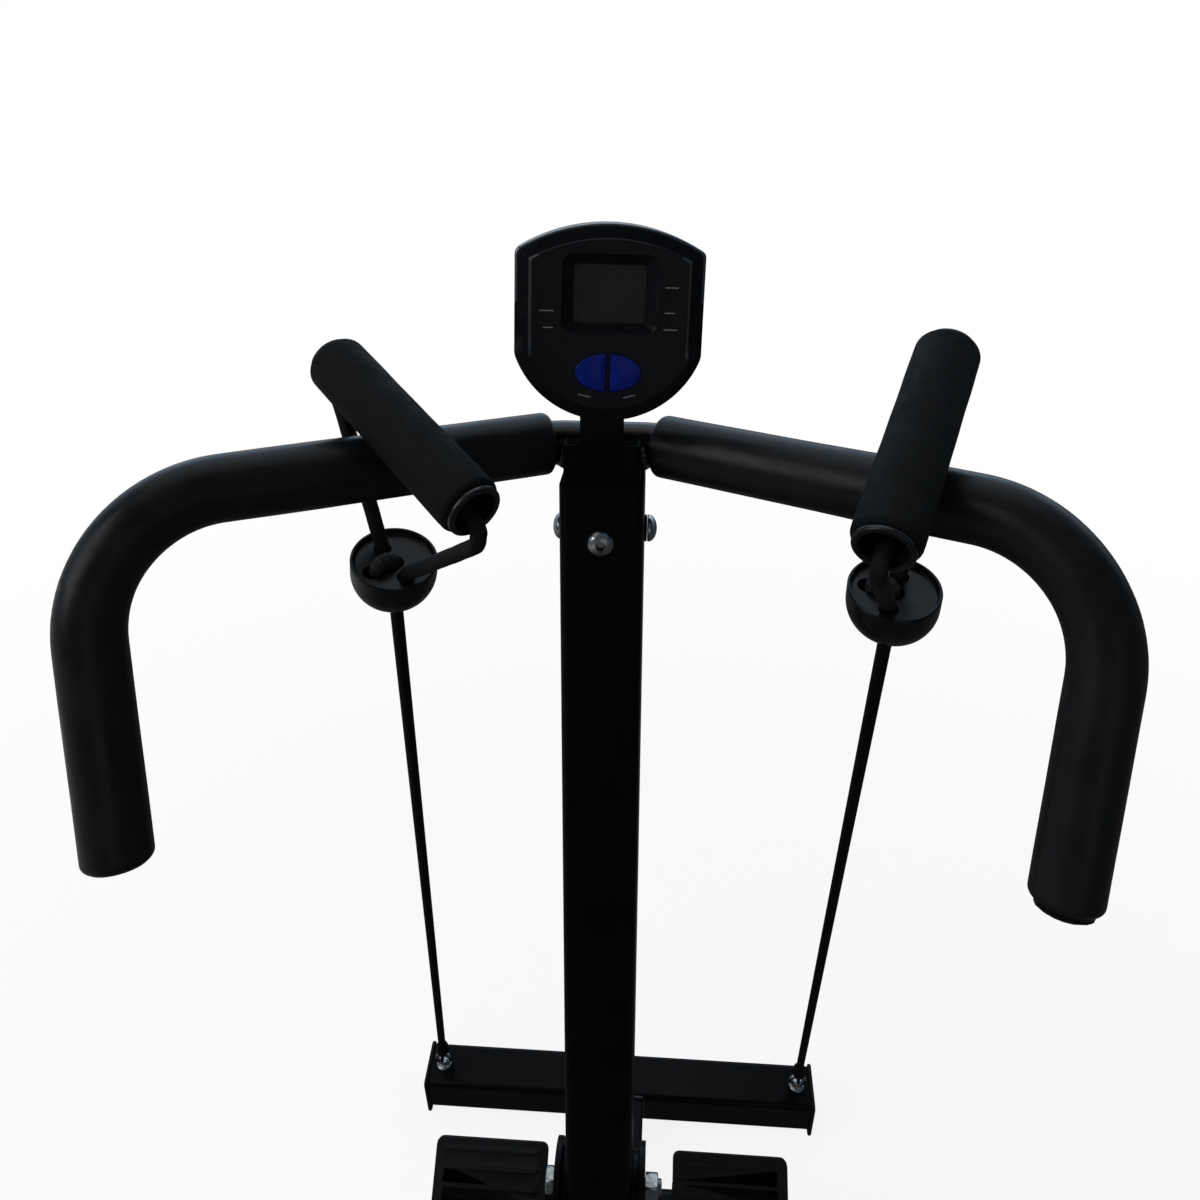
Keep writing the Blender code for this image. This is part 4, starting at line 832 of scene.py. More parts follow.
def easedLoop(points, width, count=900):
    # corners rounded: each point is the mean of those within half the width
    loop = evenLoop(np.asarray(points, float), count)
    step = np.linalg.norm(np.roll(loop, -1, 0) - loop, axis=1).mean()
    reach = max(1, round(width / 2 / step))
    return sum(np.roll(loop, k, 0) for k in range(-reach, reach + 1)) / (2 * reach + 1)


def byAngle(loop, centre, angles):
    # the loop's points in given directions from a centre inside it
    offset = loop - np.asarray(centre, float)
    x, y = offset.T
    reach = np.interp(angles, np.arctan2(y, x), np.hypot(x, y), period=math.tau)
    return centre + reach[:, None] * np.stack([np.cos(angles), np.sin(angles)], -1)


def drawnIn(loop, distance):
    # a counter-clockwise loop moved inwards, square to itself
    along = unit(np.roll(loop, -1, 0) - np.roll(loop, 1, 0))
    return loop + np.stack([-along[:, 1], along[:, 0]], -1) * distance


# console

console = {
    "centre": (0.0048, -0.0343, 0.0928), "turnDegrees": (-2.7, 1.5, 6.1),
    "halfWidth": 0.0511, "shoulder": 0.0270, "apex": 0.0419, "foot": 0.0290, "bottom": 0.0652, "cornerEase": 0.0042,
    "rise": 0.0060, "skirt": 0.0030, "depth": 0.0160, "backEdge": 0.0050, "wall": 0.0018,
    "shoulderFollow": 0.55, "small": 0.0004, "gap": 0.0003, "panelFrom": -0.037, "panelSpan": 0.020,
    "rimRound": 0.0016, "rimFoot": 0.0006, "rimTop": 0.0024, "rimLower": 0.0026,
    "panelInset": 0.0076, "panelStep": 0.0012, "panelRidge": 0.00055, "panelEase": 0.0020, "stepWidth": 0.0015,
    "displayCentre": 0.0046, "recess": (0.0502, 0.0410, 0.0052), "window": (0.0388, 0.0314, 0.0014),
    "recessDepth": 0.0032, "recessLip": 0.0009, "lipDrop": 0.0006, "windowRim": (0.0016, 0.0016, 0.0006),
    "cornerDegrees": (28, 49), "uprightShare": 0.92, "uprightFrom": -0.034,
    "slit": (0.0120, 0.0007, 0.0003), "slitCentre": (-0.0015, -0.0575), "sharpDegrees": 28,
    "keyCentre": -0.0374, "keyWidth": 0.0358, "keyHeight": 0.0205, "keyGap": 0.0022, "keyProud": 0.0022,
    "keyCorner": 0.0014, "keyRoom": 0.00035, "keyRound": 0.0008, "keyLow": -0.0003,
    "batteryCentre": 0.0120, "battery": (0.0400, 0.0280, 0.002), "lidThick": 0.0018,
    "markWidth": 0.00055, "markEnd": 0.00026, "markLevels": (-0.0002, 0.00004),
    "marks": (  # across, up, length, turn
        (-0.0338, -0.0045, 0.0075, 0), (-0.0328, -0.0135, 0.0055, 0), (0.0330, 0.0090, 0.0070, 0),
        (0.0322, -0.0045, 0.0055, 0), (0.0330, -0.0135, 0.0075, 0), (-0.0125, -0.0505, 0.0070, -0.22),
        (0.0120, -0.0505, 0.0070, 0.24),
    ),
}
consoleTurn = np.array(Euler([math.radians(a) for a in console["turnDegrees"]]).to_matrix())
consoleBody = barFrame @ frameAt(console["centre"], *consoleTurn.T)
# the face's own frame: z towards the rider
consoleFace = frameAt(consoleBody[:3, 3], consoleBody[:3, 0], consoleBody[:3, 2], -consoleBody[:3, 1])


def consoleOutline(inset=0.0, soften=console["cornerEase"]):
    # upright sides between a wide arch above and a deeper arc below, drawn in by the inset
    half, apex, bottom = console["halfWidth"] - inset, console["apex"] - inset, console["bottom"] - inset
    shoulder, foot = console["shoulder"] - inset * console["shoulderFollow"], console["foot"]
    topRadius = (half ** 2 + (apex - shoulder) ** 2) / (2 * (apex - shoulder))
    lowRadius = (half ** 2 + (bottom - foot) ** 2) / (2 * (bottom - foot))
    topAngle, lowAngle = math.asin(half / topRadius), math.acos(1 - (bottom - foot) / lowRadius)
    a = np.linspace(math.pi / 2 - topAngle, math.pi / 2 + topAngle, 120)
    b = np.linspace(1.5 * math.pi - lowAngle, 1.5 * math.pi + lowAngle, 160)
    top = np.stack([topRadius * np.cos(a), apex - topRadius + topRadius * np.sin(a)], -1)
    low = np.stack([lowRadius * np.cos(b), lowRadius - bottom + lowRadius * np.sin(b)], -1)
    return easedLoop(np.vstack([top, low]), soften)


def consoleAngles():
    # even directions, with more of them across the corners of the display's recess
    corner = np.linspace(*map(math.radians, console["cornerDegrees"]), 26)
    corners = [sign * corner + base for sign, base in ((1, 0), (-1, math.pi), (1, math.pi), (-1, 0))]
    return np.unique(np.round(np.mod(np.concatenate([circle(300), *corners]), math.tau), 6))


def keyLoop(side):
    # half an ellipse with its straight edge beside the other key
    t = np.linspace(-math.pi / 2, math.pi / 2, 80)
    wide, gap = console["keyWidth"] / 2 - console["keyGap"] / 2, console["keyGap"] / 2
    across, up = side * (gap + wide * np.cos(t)), console["keyCentre"] + console["keyHeight"] / 2 * np.sin(t)
    loop = np.stack([across, up], -1)
    return easedLoop(loop if side > 0 else loop[::-1], console["keyCorner"], 220)


def finishPatch(piece, finish, rows, columns):
    # the faces of the given rows take another finish, in the columns that are marked true
    piece.data.materials.append(finish)
    index = np.empty(len(piece.data.polygons), np.int32)
    piece.data.polygons.foreach_get("material_index", index)
    cells = index.reshape(-1, len(columns))
    cells[np.ix_(rows, np.flatnonzero(columns))] = len(piece.data.materials) - 1
    piece.data.polygons.foreach_set("material_index", index)


def addConsoleFront():
    # rows from the parting edge over the sloped rim and the panel's step, down the recess to the window and back
    angles, centre = consoleAngles(), np.array([0, console["displayCentre"]])
    rise, skirt, panel, step = (console[k] for k in ("rise", "skirt", "panelInset", "panelStep"))
    foot, top, corner = console["rimFoot"], console["rimTop"], console["rimRound"]
    soft, panelSoft, small = console["cornerEase"], console["panelEase"], console["small"]
    curves, levels = [], []

    def row(curve, level):
        curves.append(curve)
        levels.append(level + 0 * angles)

    def rim(inset, soften=soft):
        return byAngle(consoleOutline(inset, soften), centre, angles)

    def pocket(size, grow=0.0):
        width, height, radius = size
        loop = roundRectangle(width + 2 * grow, height + 2 * grow, radius + grow, 16) + centre
        return byAngle(evenLoop(loop, 1200), centre, angles)

    edge = rim(0)
    fade = (edge[:, 1] - console["panelFrom"]) / console["panelSpan"]
    upper = eased(np.clip(fade, 0, 1))  # the panel's step fades out round the bottom
    lowerLift = console["rimLower"] * (1 - upper)  # the rim slopes less there
    slopeTop = rise - step * upper
    row(rim(small), -skirt)
    row(edge, -skirt + small)
    row(edge, small)
    for t in np.linspace(0.12, 1, 8) * math.pi / 2:
        row(rim(corner * (1 - math.cos(t))), foot + (top - foot + lowerLift) * math.sin(t))
    sideRows = list(range(len(curves) - 1))
    for share in np.linspace(0.1, 1, 12):
        level = top + lowerLift + (slopeTop - top - lowerLift) * share ** 0.9
        row(rim(corner + (panel - corner) * share, soft - 0.002 * share), level)
    firstStep = len(curves) - 1
    for t in np.linspace(0, 1, 11)[1:]:
        ridge = console["panelRidge"] * upper * math.sin(math.pi * t) ** 2
        row(rim(panel + console["stepWidth"] * t, panelSoft), slopeTop + (rise - slopeTop) * eased(t) + ridge)
    stepRows = list(range(firstStep, len(curves) - 1))
    row(rim(panel + 2 * console["stepWidth"], panelSoft), rise)

    floor, lip, drop = rise - console["recessDepth"], console["recessLip"], console["lipDrop"]
    for t in np.linspace(0, 1, 6):
        row(pocket(console["recess"], lip * (1 - t)), rise - drop * t * t)
    wide, window, rimOfWindow = (np.array(console[k]) for k in ("recess", "window", "windowRim"))
    for share in np.linspace(0.1, 0.9, 9):
        row(pocket(wide + (window + rimOfWindow - wide) * share), rise - drop + (floor - rise + drop) * share)
    for size, grow, level in (
        (window, 2 * small, floor), (window, 0.0005, floor - 0.0001), (window, 0, floor - 0.0003),
        (window, 0, top), (wide, 0, top),
    ):
        row(pocket(size, grow), level)
    for inset, level in ((0.0060, top - 0.0002), (0.0022, foot), (console["wall"], -skirt)):
        row(rim(inset), level)

    front = stacked("consoleFront", curves, levels, consoleFace, finishes["caseFront"], "mast", closedRows=True,
                    replaces=["console_front"], slot="gloss_black")
    outermost = np.abs(edge[:, 0]) > console["halfWidth"] * console["uprightShare"]
    upright = outermost & (edge[:, 1] > console["uprightFrom"])
    finishPatch(front, finishes["caseEdge"], sideRows, edge[:, 1] > 0)
    finishPatch(front, finishes["caseBack"], stepRows, upright)
    slit = roundRectangle(*console["slit"], 4) + console["slitCentre"]
    holes = [(drawnIn(keyLoop(side), -console["keyRoom"]), -0.004) for side in (-1, 1)]
    holes.append((slit, rise - drop))
    above = 2 * rise  # where the cutters end, clear of the face
    carve(front, [
        stacked("hole", [loop] * 2, [low, above], consoleFace, finishes["caseFront"], None) for loop, low in holes
    ])
    sharpenBy(front, console["sharpDegrees"])


def addKey(name, side, body, replaced):
    # rows up the key's wall, round its edge and over a shallow dome
    loop, rise, corner, small = keyLoop(side), console["rise"], console["keyRound"], console["small"]
    middle, turn = loop.mean(0), quarter(8)
    curves = [drawnIn(loop, console["gap"]), loop] + [drawnIn(loop, corner * (1 - math.cos(t))) for t in turn]
    levels = [console["keyLow"], rise - small] + [rise + small + corner * math.sin(t) for t in turn]
    top, inner, dome = levels[-1], curves[-1], console["keyProud"] - corner - small
    for share in np.linspace(0.12, 0.97, 12):
        curves.append(middle + (inner - middle) * (1 - share))
        levels.append(top + dome * (1 - (1 - share) ** 2))
    stacked(name, curves, levels, consoleFace, finishes["keyBlue"], body, replaces=[replaced], slot="blue_plastic")


def addConsoleBack():
    # rows from the parting line back along the side and round the rear edge; the battery lid's opening is cut out
    gap, edge = console["gap"], console["backEdge"]
    start, turn = -console["skirt"] - gap, quarter(12)
    end = start - console["depth"]
    insets = [gap, 0.0, *(edge * 1.2 * (1 - np.cos(turn)) + 0.0001), 0.012, 0.030]
    levels = [start, start - console["small"], *(end + edge - edge * np.sin(turn)), end, end]
    curves = [byAngle(consoleOutline(i), np.zeros(2), circle(360)) for i in insets]
    back = stacked("consoleBack", curves, levels, consoleFace, finishes["caseBack"], "mast",
                   replaces=["console_back"], slot="black_plastic")
    hole = roundRectangle(*console["battery"], 8) + [0, console["batteryCentre"]]
    span = [end + console["lidThick"], end - 0.01]
    carve(back, [stacked("hole", [hole] * 2, span, consoleFace, finishes["caseBack"], None)])
    sharpenBy(back, console["sharpDegrees"])


def addPrint():
    # small plain marks where such a console has its printed signs: flat bars with round ends, barely proud of the panel
    points, faces = [], []
    for x, y, length, a in console["marks"]:
        spin = np.array([[math.cos(a), math.sin(a)], [-math.sin(a), math.cos(a)]])
        loop = roundRectangle(length, console["markWidth"], console["markEnd"], 4) @ spin + [x, y]
        count, first = len(loop), len(points) * len(loop)
        points += [np.insert(loop, 2, console["rise"] + above, 1) for above in console["markLevels"]]
        faces += gridFaces(2, count, start=first).tolist()
        faces += [list(range(k, k + count)) for k in (first, first + count)]
    points = moved(np.vstack(points), consoleFace)
    faceOutward(meshPiece("panelMarks", points, faces, finishes["print"], "mast", smooth=False))


addConsoleFront()
addKey("leftKey", -1, "left_key", "left_button")
addKey("rightKey", 1, "right_key", "right_button")
addConsoleBack()
addPrint()
dressed("console_neck", finishes["moulded"], 0.0005)
dressed("battery_cover", finishes["caseBack"], 0.0004)
print("console done")

# pull handles

handles = {
    "left": {
        "near": (-0.0577, -0.1162, 0.0037), "far": (-0.1495, -0.0312, 0.0560),
        "rim": (-0.1239, -0.0295, -0.0641), "hang": (-0.167, 0.360, -0.918), "drop": 0.0150,
    },
    "right": {
        "near": (0.1368, -0.1480, 0.0044), "far": (0.1847, -0.0412, 0.0708),
        "rim": (0.1667, -0.0539, -0.0611), "hang": (0.045, 0.341, -0.939), "drop": 0.0115,
    },
}
grip = {
    "radius": 0.0169, "round": 0.0036, "tube": 0.0132, "bore": 0.0115, "gap": 0.0003, "groove": 0.0006,
    "flange": 0.0150, "flangeThick": 0.0028, "edge": 0.0012, "farFlange": 0.0142, "farThick": 0.0018, "farEdge": 0.0007,
}
strap = {
    "radius": 0.0045, "bend": 0.0066, "nearOut": 0.0072, "lipBend": 0.0052, "hangBend": 0.0100,
    "farOut": 0.0085, "farBend": 0.0066, "mouthBend": 0.0060, "mouthAbove": 0.0020, "inCup": 0.0080,
    "spread": 0.0135, "ridge": 0.045, "rings": 420, "sides": 56, "room": 0.0010,
}
cup = {
    "radius": 0.0260, "height": 0.0350, "rim": 0.0020, "recess": 0.0040, "straight": 0.0100, "floorRound": 0.0014,
    "innerEdge": 0.0007, "outerEdge": 0.0009, "bellyPower": 0.92, "bellyDegrees": (2, 74),
    "baseShares": (0.86, 0.4, 0.1), "cordHole": 0.0060, "sideHole": 0.0056, "aside": 0.0150,
    "rope": 0.0040, "ropeFrom": -0.0005, "ropeTo": -0.0122, "loopHeight": 0.0016, "ropeRings": 120, "ropeSides": 44,
}


def handleFrames(name):
    # the grip's frame, y from its near end to its far end and z away from the cup, and the cup's, z up out of its mouth
    near, far, rim, hang = (np.array(handles[name][k], float) for k in ("near", "far", "rim", "hang"))
    middle, y = (near + far) / 2, unit(far - near)
    x = unit(np.cross(y, middle - rim))
    z = np.cross(x, y)
    local = np.stack([x, y, z], -1)
    cupLocal = alongUp(local.T @ (rim - middle), local.T @ -hang)
    held = barFrame @ frameAt(middle, x, y, z)
    return held, held @ cupLocal, cupLocal, np.linalg.norm(far - near) / 2


def strapPath(name, cupLocal, half):
    # from one hole in the cup, hanging a little below the grip's near end, through the grip and to the other hole
    level = -(grip["bore"] - strap["radius"] - grip["gap"])
    heights = [-cup["recess"] + z for z in (-strap["inCup"], strap["mouthAbove"])]
    first, second = (moved([(0, side * strap["spread"], z) for z in heights], cupLocal) for side in (-1, 1))
    out = half + strap["nearOut"]
    near = [(0, -(out - 0.001), level - handles[name]["drop"]), (0, -out, level)]
    corners = [*first, *near, (0, half + strap["farOut"], level), *second[::-1]]
    return filletPath(corners, [strap[k] for k in ("mouthBend", "hangBend", "lipBend", "farBend", "mouthBend")])


def addGrip(name, held, half):
    # a tube with a flange at each end, and a foam sleeve between them
    along = frameAt(held[:3, 3], held[:3, 2], held[:3, 0], held[:3, 1])
    body, bore, tube, gap = name + "_grip", grip["bore"], grip["tube"], grip["gap"]

    def oneEnd(thick, flange, edge, start):
        # from the tube out to the flange's back, round its lip and into the bore
        reach, turn = start + thick, quarter(6)
        lip = [(flange - edge + edge * math.cos(t), reach - edge + edge * math.sin(t)) for t in turn]
        mouth = [(bore + edge - edge * math.sin(t), reach - edge + edge * math.cos(t)) for t in turn]
        return [(tube, start), (flange - 0.0002, start), (flange, start + 0.0003), *lip, *mouth, (bore, half - 0.01)]

    near = oneEnd(grip["flangeThick"], grip["flange"], grip["edge"], half + gap + grip["groove"])
    far = oneEnd(grip["farThick"], grip["farFlange"], grip["farEdge"], half + gap)
    profile = [(r, -z) for r, z in reversed(near)] + far
    plastic = turned(name + "GripTube", profile, 96, along, finishes["gripPlastic"], body, closedRows=True,
                     replaces=[name + "_grip_tube"], slot="black_plastic")
    sharpenBy(plastic, 40)
    rr, r = grip["round"], grip["radius"]
    oneSide = [(tube + 0.0004, half)]
    oneSide += [(r - rr + rr * math.sin(t), half - rr * (1 - math.cos(t))) for t in quarter(10)]
    level = np.linspace(half - rr, -half + rr, 40)[1:-1]
    uneven = [(r * (1 + 0.004 * math.sin(z * 190) - 0.006 * math.sin(z * 61 + 1)), z) for z in level]
    profile = [*oneSide, *uneven, *[(a, -b) for a, b in reversed(oneSide)]]
    turned(name + "GripFoam", profile, 80, along, finishes["gripFoam"], body, closedRows=True,
           replaces=[name + "_grip_foam"], slot="bar_foam")


def addStrap(name, held, path):
    # a thick strap of folded cloth: a circle pressed into three soft ridges that wind slowly and press in at the bends
    distance = np.linspace(0, runLength(path)[-1], strap["rings"])
    centres, tangents = sampled(path, distance)
    turning = np.linalg.norm(np.gradient(tangents, distance, axis=0), axis=1)
    turning = np.convolve(np.pad(turning, 9, "edge"), np.ones(19) / 19, "valid")
    crease = np.clip(turning * strap["bend"], 0, 1)[:, None]
    angle, d = circle(strap["sides"])[None], distance[:, None]
    ridge = strap["ridge"] * (1 + crease) * np.cos(3 * angle + 26 * d + 0.8 * np.sin(95 * d))
    fold = 0.030 * crease * np.sin(900 * d + 2 * np.sin(angle)) + 0.012 * np.sin(310 * d + angle + 1)
    radii = strap["radius"] * (0.985 - 0.07 * crease * (0.5 + 0.5 * np.cos(2 * angle)) + ridge + fold)
    clothTube(name + "HandleStrap", distance, centres, tangents, radii, strap["sides"], (1, 0, 0), held,
              finishes["strapCover"], name + "_handle", replaces=[name + "_handle_strap"])


def addCup(name, cupFrame):
    # a turned bowl with a rim round a sunk floor, then its four holes are cut
    r, recess, straight, height = (cup[k] for k in ("radius", "recess", "straight", "height"))
    inner, low, lipEdge, outEdge = r - cup["rim"], cup["floorRound"], cup["innerEdge"], cup["outerEdge"]
    turn = quarter(7)
    floor = [(0.001, -recess), (0.010, -recess)]
    floor += [(inner - low + low * math.sin(t), -recess + low * (1 - math.cos(t))) for t in turn]
    lip = [(inner + lipEdge * (1 - math.cos(t)), -lipEdge + lipEdge * math.sin(t)) for t in turn]
    outer = [(r - outEdge + outEdge * math.sin(t), -outEdge * (1 - math.cos(t))) for t in turn]
    rounds, power = np.radians(np.linspace(*cup["bellyDegrees"], 22)), cup["bellyPower"]
    belly = [(r * math.cos(a) ** power, -straight - (height - straight) * math.sin(a)) for a in rounds]
    bottom = [(belly[-1][0] * share, -height + 0.0002 * share) for share in cup["baseShares"]]
    profile = [*floor, *lip, *outer, (r, -straight * 0.5), (r, -straight), *belly, *bottom]
    bowl = turned(name + "CupBowl", profile, 120, cupFrame, finishes["cupPlastic"], name + "_handle",
                  replaces=[name + "_cup"], slot="black_plastic")
    deep, room = -recess - strap["inCup"] - 0.0003, strap["radius"] + strap["room"]
    ring = np.stack([np.cos(circle(40)), np.sin(circle(40))], -1)
    drills = [
        ((0, strap["spread"]), room, deep), ((0, -strap["spread"]), room, deep),
        ((0, 0), cup["cordHole"], -height * 1.1), ((-cup["aside"], 0), cup["sideHole"], deep),
    ]
    carve(bowl, [
        stacked("hole", [place + radius * ring] * 2, [low, 0.003], cupFrame, finishes["cupPlastic"], None)
        for place, radius, low in drills
    ])
    sharpenBy(bowl, 32)


def addRope(name, cupFrame):
    # the rope's end: up from the middle hole, over the cup's floor, a little swollen, and down the hole at the side
    begin, end, low = cup["ropeFrom"], cup["ropeTo"], -cup["recess"] - 0.006
    top, bend = -cup["recess"] + cup["rope"] + cup["loopHeight"], (begin - end) / 2 * 0.97
    path = filletPath([(begin, 0, low), (begin, 0, top), (end, 0, top), (end, 0, low - 0.001)], [bend, bend])
    distance = np.linspace(0, runLength(path)[-1], cup["ropeRings"])
    share, angle = distance[:, None] / distance[-1], circle(cup["ropeSides"])[None]
    radii = cup["rope"] * (0.94 + 0.10 * np.sin(math.pi * share) + 0.03 * np.sin(9 * angle + 60 * share))
    clothTube(name + "RopeEnd", distance, *sampled(path, distance), radii, cup["ropeSides"], (0, 1, 0), cupFrame,
              finishes["ropeCover"], name + "_handle", replaces=[name + "_rope_loop"])


for name in handles:
    held, cupFrame, cupLocal, half = handleFrames(name)
    addGrip(name, held, half)
    addStrap(name, held, strapPath(name, cupLocal, half))
    addCup(name, cupFrame)
    addRope(name, cupFrame)
print("pull handles done")

# clamp bolts

bolt = {
    "radius": 0.0083, "height": 0.0058, "foot": 0.15, "below": 0.052, "edge": 0.0003, "seat": 0.0042, "socket": 0.0031,
    "socketDepth": 0.0030, "washer": 0.0083, "washerThick": 0.0015, "hole": 0.0043, "gap": 0.0003,
}


def boltFrame(out, away):
    # a frame whose z points out of the post's face, that far from its middle
    out = np.array(out, float)
    return barFrame @ alongUp(out * away - [0, 0, bolt["below"]], out, (0, 0, 1))


def addHead(name, matrix, replaced, socket=True):
    # a domed head turned about the way out, with a six-sided socket where it has one; the socket's walls are painted
    # near black as shade
    r, h, edge, foot = (bolt[k] for k in ("radius", "height", "edge", "foot"))
    dome = [(r * math.cos(a), h * (foot + (1 - foot) * math.sin(a))) for a in np.radians(np.linspace(0, 88, 22))]
    profile = [(bolt["seat"], 0), (r - edge, 0), (r, edge), *dome]
    head = turned(name, profile, 96, matrix, finishes["zinc"], "mast", replaces=[replaced], slot="zinc")
    if not socket:
        return
    six = evenLoop(bolt["socket"] * np.stack([np.cos(circle(6)), np.sin(circle(6))], -1), 36)
    hole = stacked("hole", [six] * 2, [h - bolt["socketDepth"], h * 2], matrix, finishes["zinc"], None)
    # painted shade: the near-black stubCoat goes on the socket's walls and stands for the shade inside the socket
    for part in (head, hole):
        part.data.materials.append(finishes["stubCoat"])
    normals = np.empty(len(hole.data.polygons) * 3, np.float32)
    hole.data.polygons.foreach_get("normal", normals)
    shadedWalls = np.abs(normals.reshape(-1, 3) @ matrix[:3, 2]) < 0.5  # the socket's walls are dark
    hole.data.polygons.foreach_set("material_index", shadedWalls.astype(np.int32))
    carve(head, [hole])
    sharpenBy(head, 32)


face = layout["postSize"] / 2 + bolt["gap"]
addHead("frontBoltHead", boltFrame((0, -1, 0), face), "front_bolt")
addHead("sideBoltHead", boltFrame((-1, 0, 0), face), "side_bolt")
addHead("sideNutDome", boltFrame((1, 0, 0), face + bolt["washerThick"] + bolt["gap"]), "side_nut", socket=False)
hole, outer, thick, edge = (bolt[k] for k in ("hole", "washer", "washerThick", "edge"))
washerProfile = [
    (hole, 0), (outer - edge, 0), (outer, edge + 0.0001),
    (outer, thick - edge - 0.0001), (outer - edge, thick), (hole, thick),
]
turned("nutWasher", washerProfile, 80, boltFrame((1, 0, 0), face), finishes["moulded"], "mast", closedRows=True,
       replaces=["side_washer"], slot="black_plastic")
print("clamp bolts done")

# elastic cords, their hooks and eyes

cord = {
    "radius": 0.0042, "anchorAside": 0.210, "anchorForward": 0.475, "low": 0.0746,
    "pastHook": 0.0417, "inFerrule": 0.004,
    "aim": {"left": (-0.12756, 0.29936, 0.92209), "right": (0.16769, 0.27561, 0.92973)}, "pastAim": 0.01306,
    "rings": 400, "sides": 28, "routeStep": 21,
    "eyeHeight": 0.0713, "eyeRadius": 0.0080, "eyeWire": 0.0025, "hookRadius": 0.0065, "hookWire": 0.0016,
    "collar": [(0.002, 0), (0.0088, 0), (0.0090, 0.0002), (0.0090, 0.0012), (0.0084, 0.0018), (0.002, 0.0020)],
    "ferrule": 0.0070, "ferruleLength": 0.030, "swellAt": (0, 0.04, 0.3, 0.8, 0.97, 1),
    "swell": (0.45, 0.58, 1, 1, 0.84, 0.70), "grooveDepth": 0.05,
}


def wireRing(name, radius, wire, matrix, finish, replaced, slot):
    # a round wire bent into a ring about the frame's z
    t = circle(28)
    profile = np.stack([radius + wire * np.cos(t), wire * np.sin(t)], -1)
    turned(name, profile, 72, matrix, finish, "floor_frame", closedRows=True, replaces=[replaced], slot=slot)


def addCord(name, side):
    # a straight round cord from the ferrule to the inside of the cup, then its eye, collar, hook and ferrule
    low = np.array([side * cord["anchorAside"], cord["anchorForward"], cord["low"]])
    aim = np.array(cord["aim"][name])
    up = unit(aim - low)
    start, end = low + up * (cord["pastHook"] - cord["inFerrule"]), aim + up * cord["pastAim"]
    length = float(np.linalg.norm(end - start))
    distance = np.linspace(0, length, cord["rings"])
    centres = start + distance[:, None] * up
    tangents, radii = np.tile(up, (cord["rings"], 1)), np.full(cord["rings"], cord["radius"])
    piece = clothTube(name + "ElasticCord", distance, centres, tangents, radii, cord["sides"], (0, 1, 0), np.eye(4),
                      finishes["cordCover"], None, replaces=[name + "_cord"])
    start, end = tuple(map(float, start)), tuple(map(float, end))
    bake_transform(piece)
    eye = frameAt((low[0], low[1], cord["eyeHeight"]), (0, 0, 1), (1, 0, 0), (0, 1, 0))
    wireRing(name + "EyeRing", cord["eyeRadius"], cord["eyeWire"], eye, finishes["zinc"], name + "_cord_eye", "zinc")
    foot = frameAt((low[0], low[1], cord["eyeHeight"] - cord["eyeRadius"] - 0.0030), (1, 0, 0), (0, 1, 0), (0, 0, 1))
    turned(name + "EyeCollar", cord["collar"], 64, foot, finishes["zinc"], "floor_frame",
           replaces=[name + "_cord_eye"], slot="zinc")
    held = alongUp(low, up)
    hook = held @ frameAt((0, 0, cord["hookRadius"]), (0, 1, 0), (0, 0, 1), (1, 0, 0))
    wireRing(name + "HookRing", cord["hookRadius"], cord["hookWire"], hook, finishes["moulded"], name + "_cord_hook",
             "black_plastic")
    share = np.linspace(0, 1, 26)
    swell = np.interp(share, cord["swellAt"], cord["swell"])
    grooves = 1 - cord["grooveDepth"] * (np.sin(share * math.tau * 5) > 0.6) * (share > 0.35) * (share < 0.8)
    level = 2 * cord["hookRadius"] - cord["hookWire"] + cord["ferruleLength"] * share
    profile = np.stack([cord["ferrule"] * swell * grooves, level], -1)
    ferrule = turned(name + "Ferrule", profile, 56, held, finishes["moulded"], "floor_frame",
                     replaces=[name + "_cord_hook"], slot="black_plastic")
    sharpenBy(ferrule, 40)


for name, side in hands:
    addCord(name, side)
print("cords done")

# floor frame, pivots and levers

base = {
    "size": 0.050, "length": 0.450, "corner": 0.006, "aside": 0.475, "height": 0.035, "wall": 0.002, "edge": 0.0006,
    "railWidth": 0.060, "railHeight": 0.040, "railMiddle": 0.040, "railCorner": 0.004, "railReach": 0.4497,
    "capThick": 0.004, "capLip": 0.002, "capTop": 0.062, "capRound": 0.0014, "capCorner": 0.006, "capGap": 0.0003,
    "bead": 0.0021, "beadPitch": 0.0032, "beadRings": 600, "beadSides": 12,
}
pivot = {
    "bolt": 0.006, "head": 0.0105, "headHeight": 0.0075, "headChamfer": 0.0018, "nutHeight": 0.010,
    "nutChamfer": 0.0016, "end": 0.003, "outside": 0.0356, "pitch": 0.00125, "threadDepth": 0.00045, "gap": 0.0003,
    "seatHeight": 0.130, "pin": 0.005, "pinBelow": 0.100, "pinReach": 0.0293, "peg": 0.0127, "pegWall": 0.002,
    "pegHalf": 0.172, "pegForward": 0.138, "pegBelow": 0.216, "leverAngle": 0.6284,
    "stopRadius": 0.010, "stopDistance": 0.085, "stopOff": 0.0303, "stopReach": 0.030, "stopEdge": 0.0012,
}


def addTube(name, width, height, corner, reach, matrix, replaced):
    # a tube of rounded rectangles: along the outside, over the rounded far end, back inside and over the near end
    turn, edge, wall = quarter(5), base["edge"], base["wall"]
    inset = np.concatenate([edge * (1 - np.sin(turn)), edge * (1 - np.cos(turn)), [wall, wall]])
    level = np.concatenate([-reach + edge * (1 - np.cos(turn)), reach - edge + edge * np.sin(turn), [reach, -reach]])
    curves = [roundRectangle(width - 2 * i, height - 2 * i, max(0.001, corner - i), 8, 0.0007) for i in inset]
    stacked(name, curves, level, matrix, finishes["powderCoat"], "floor_frame", closedRows=True,
            replaces=[replaced], slot="paint")


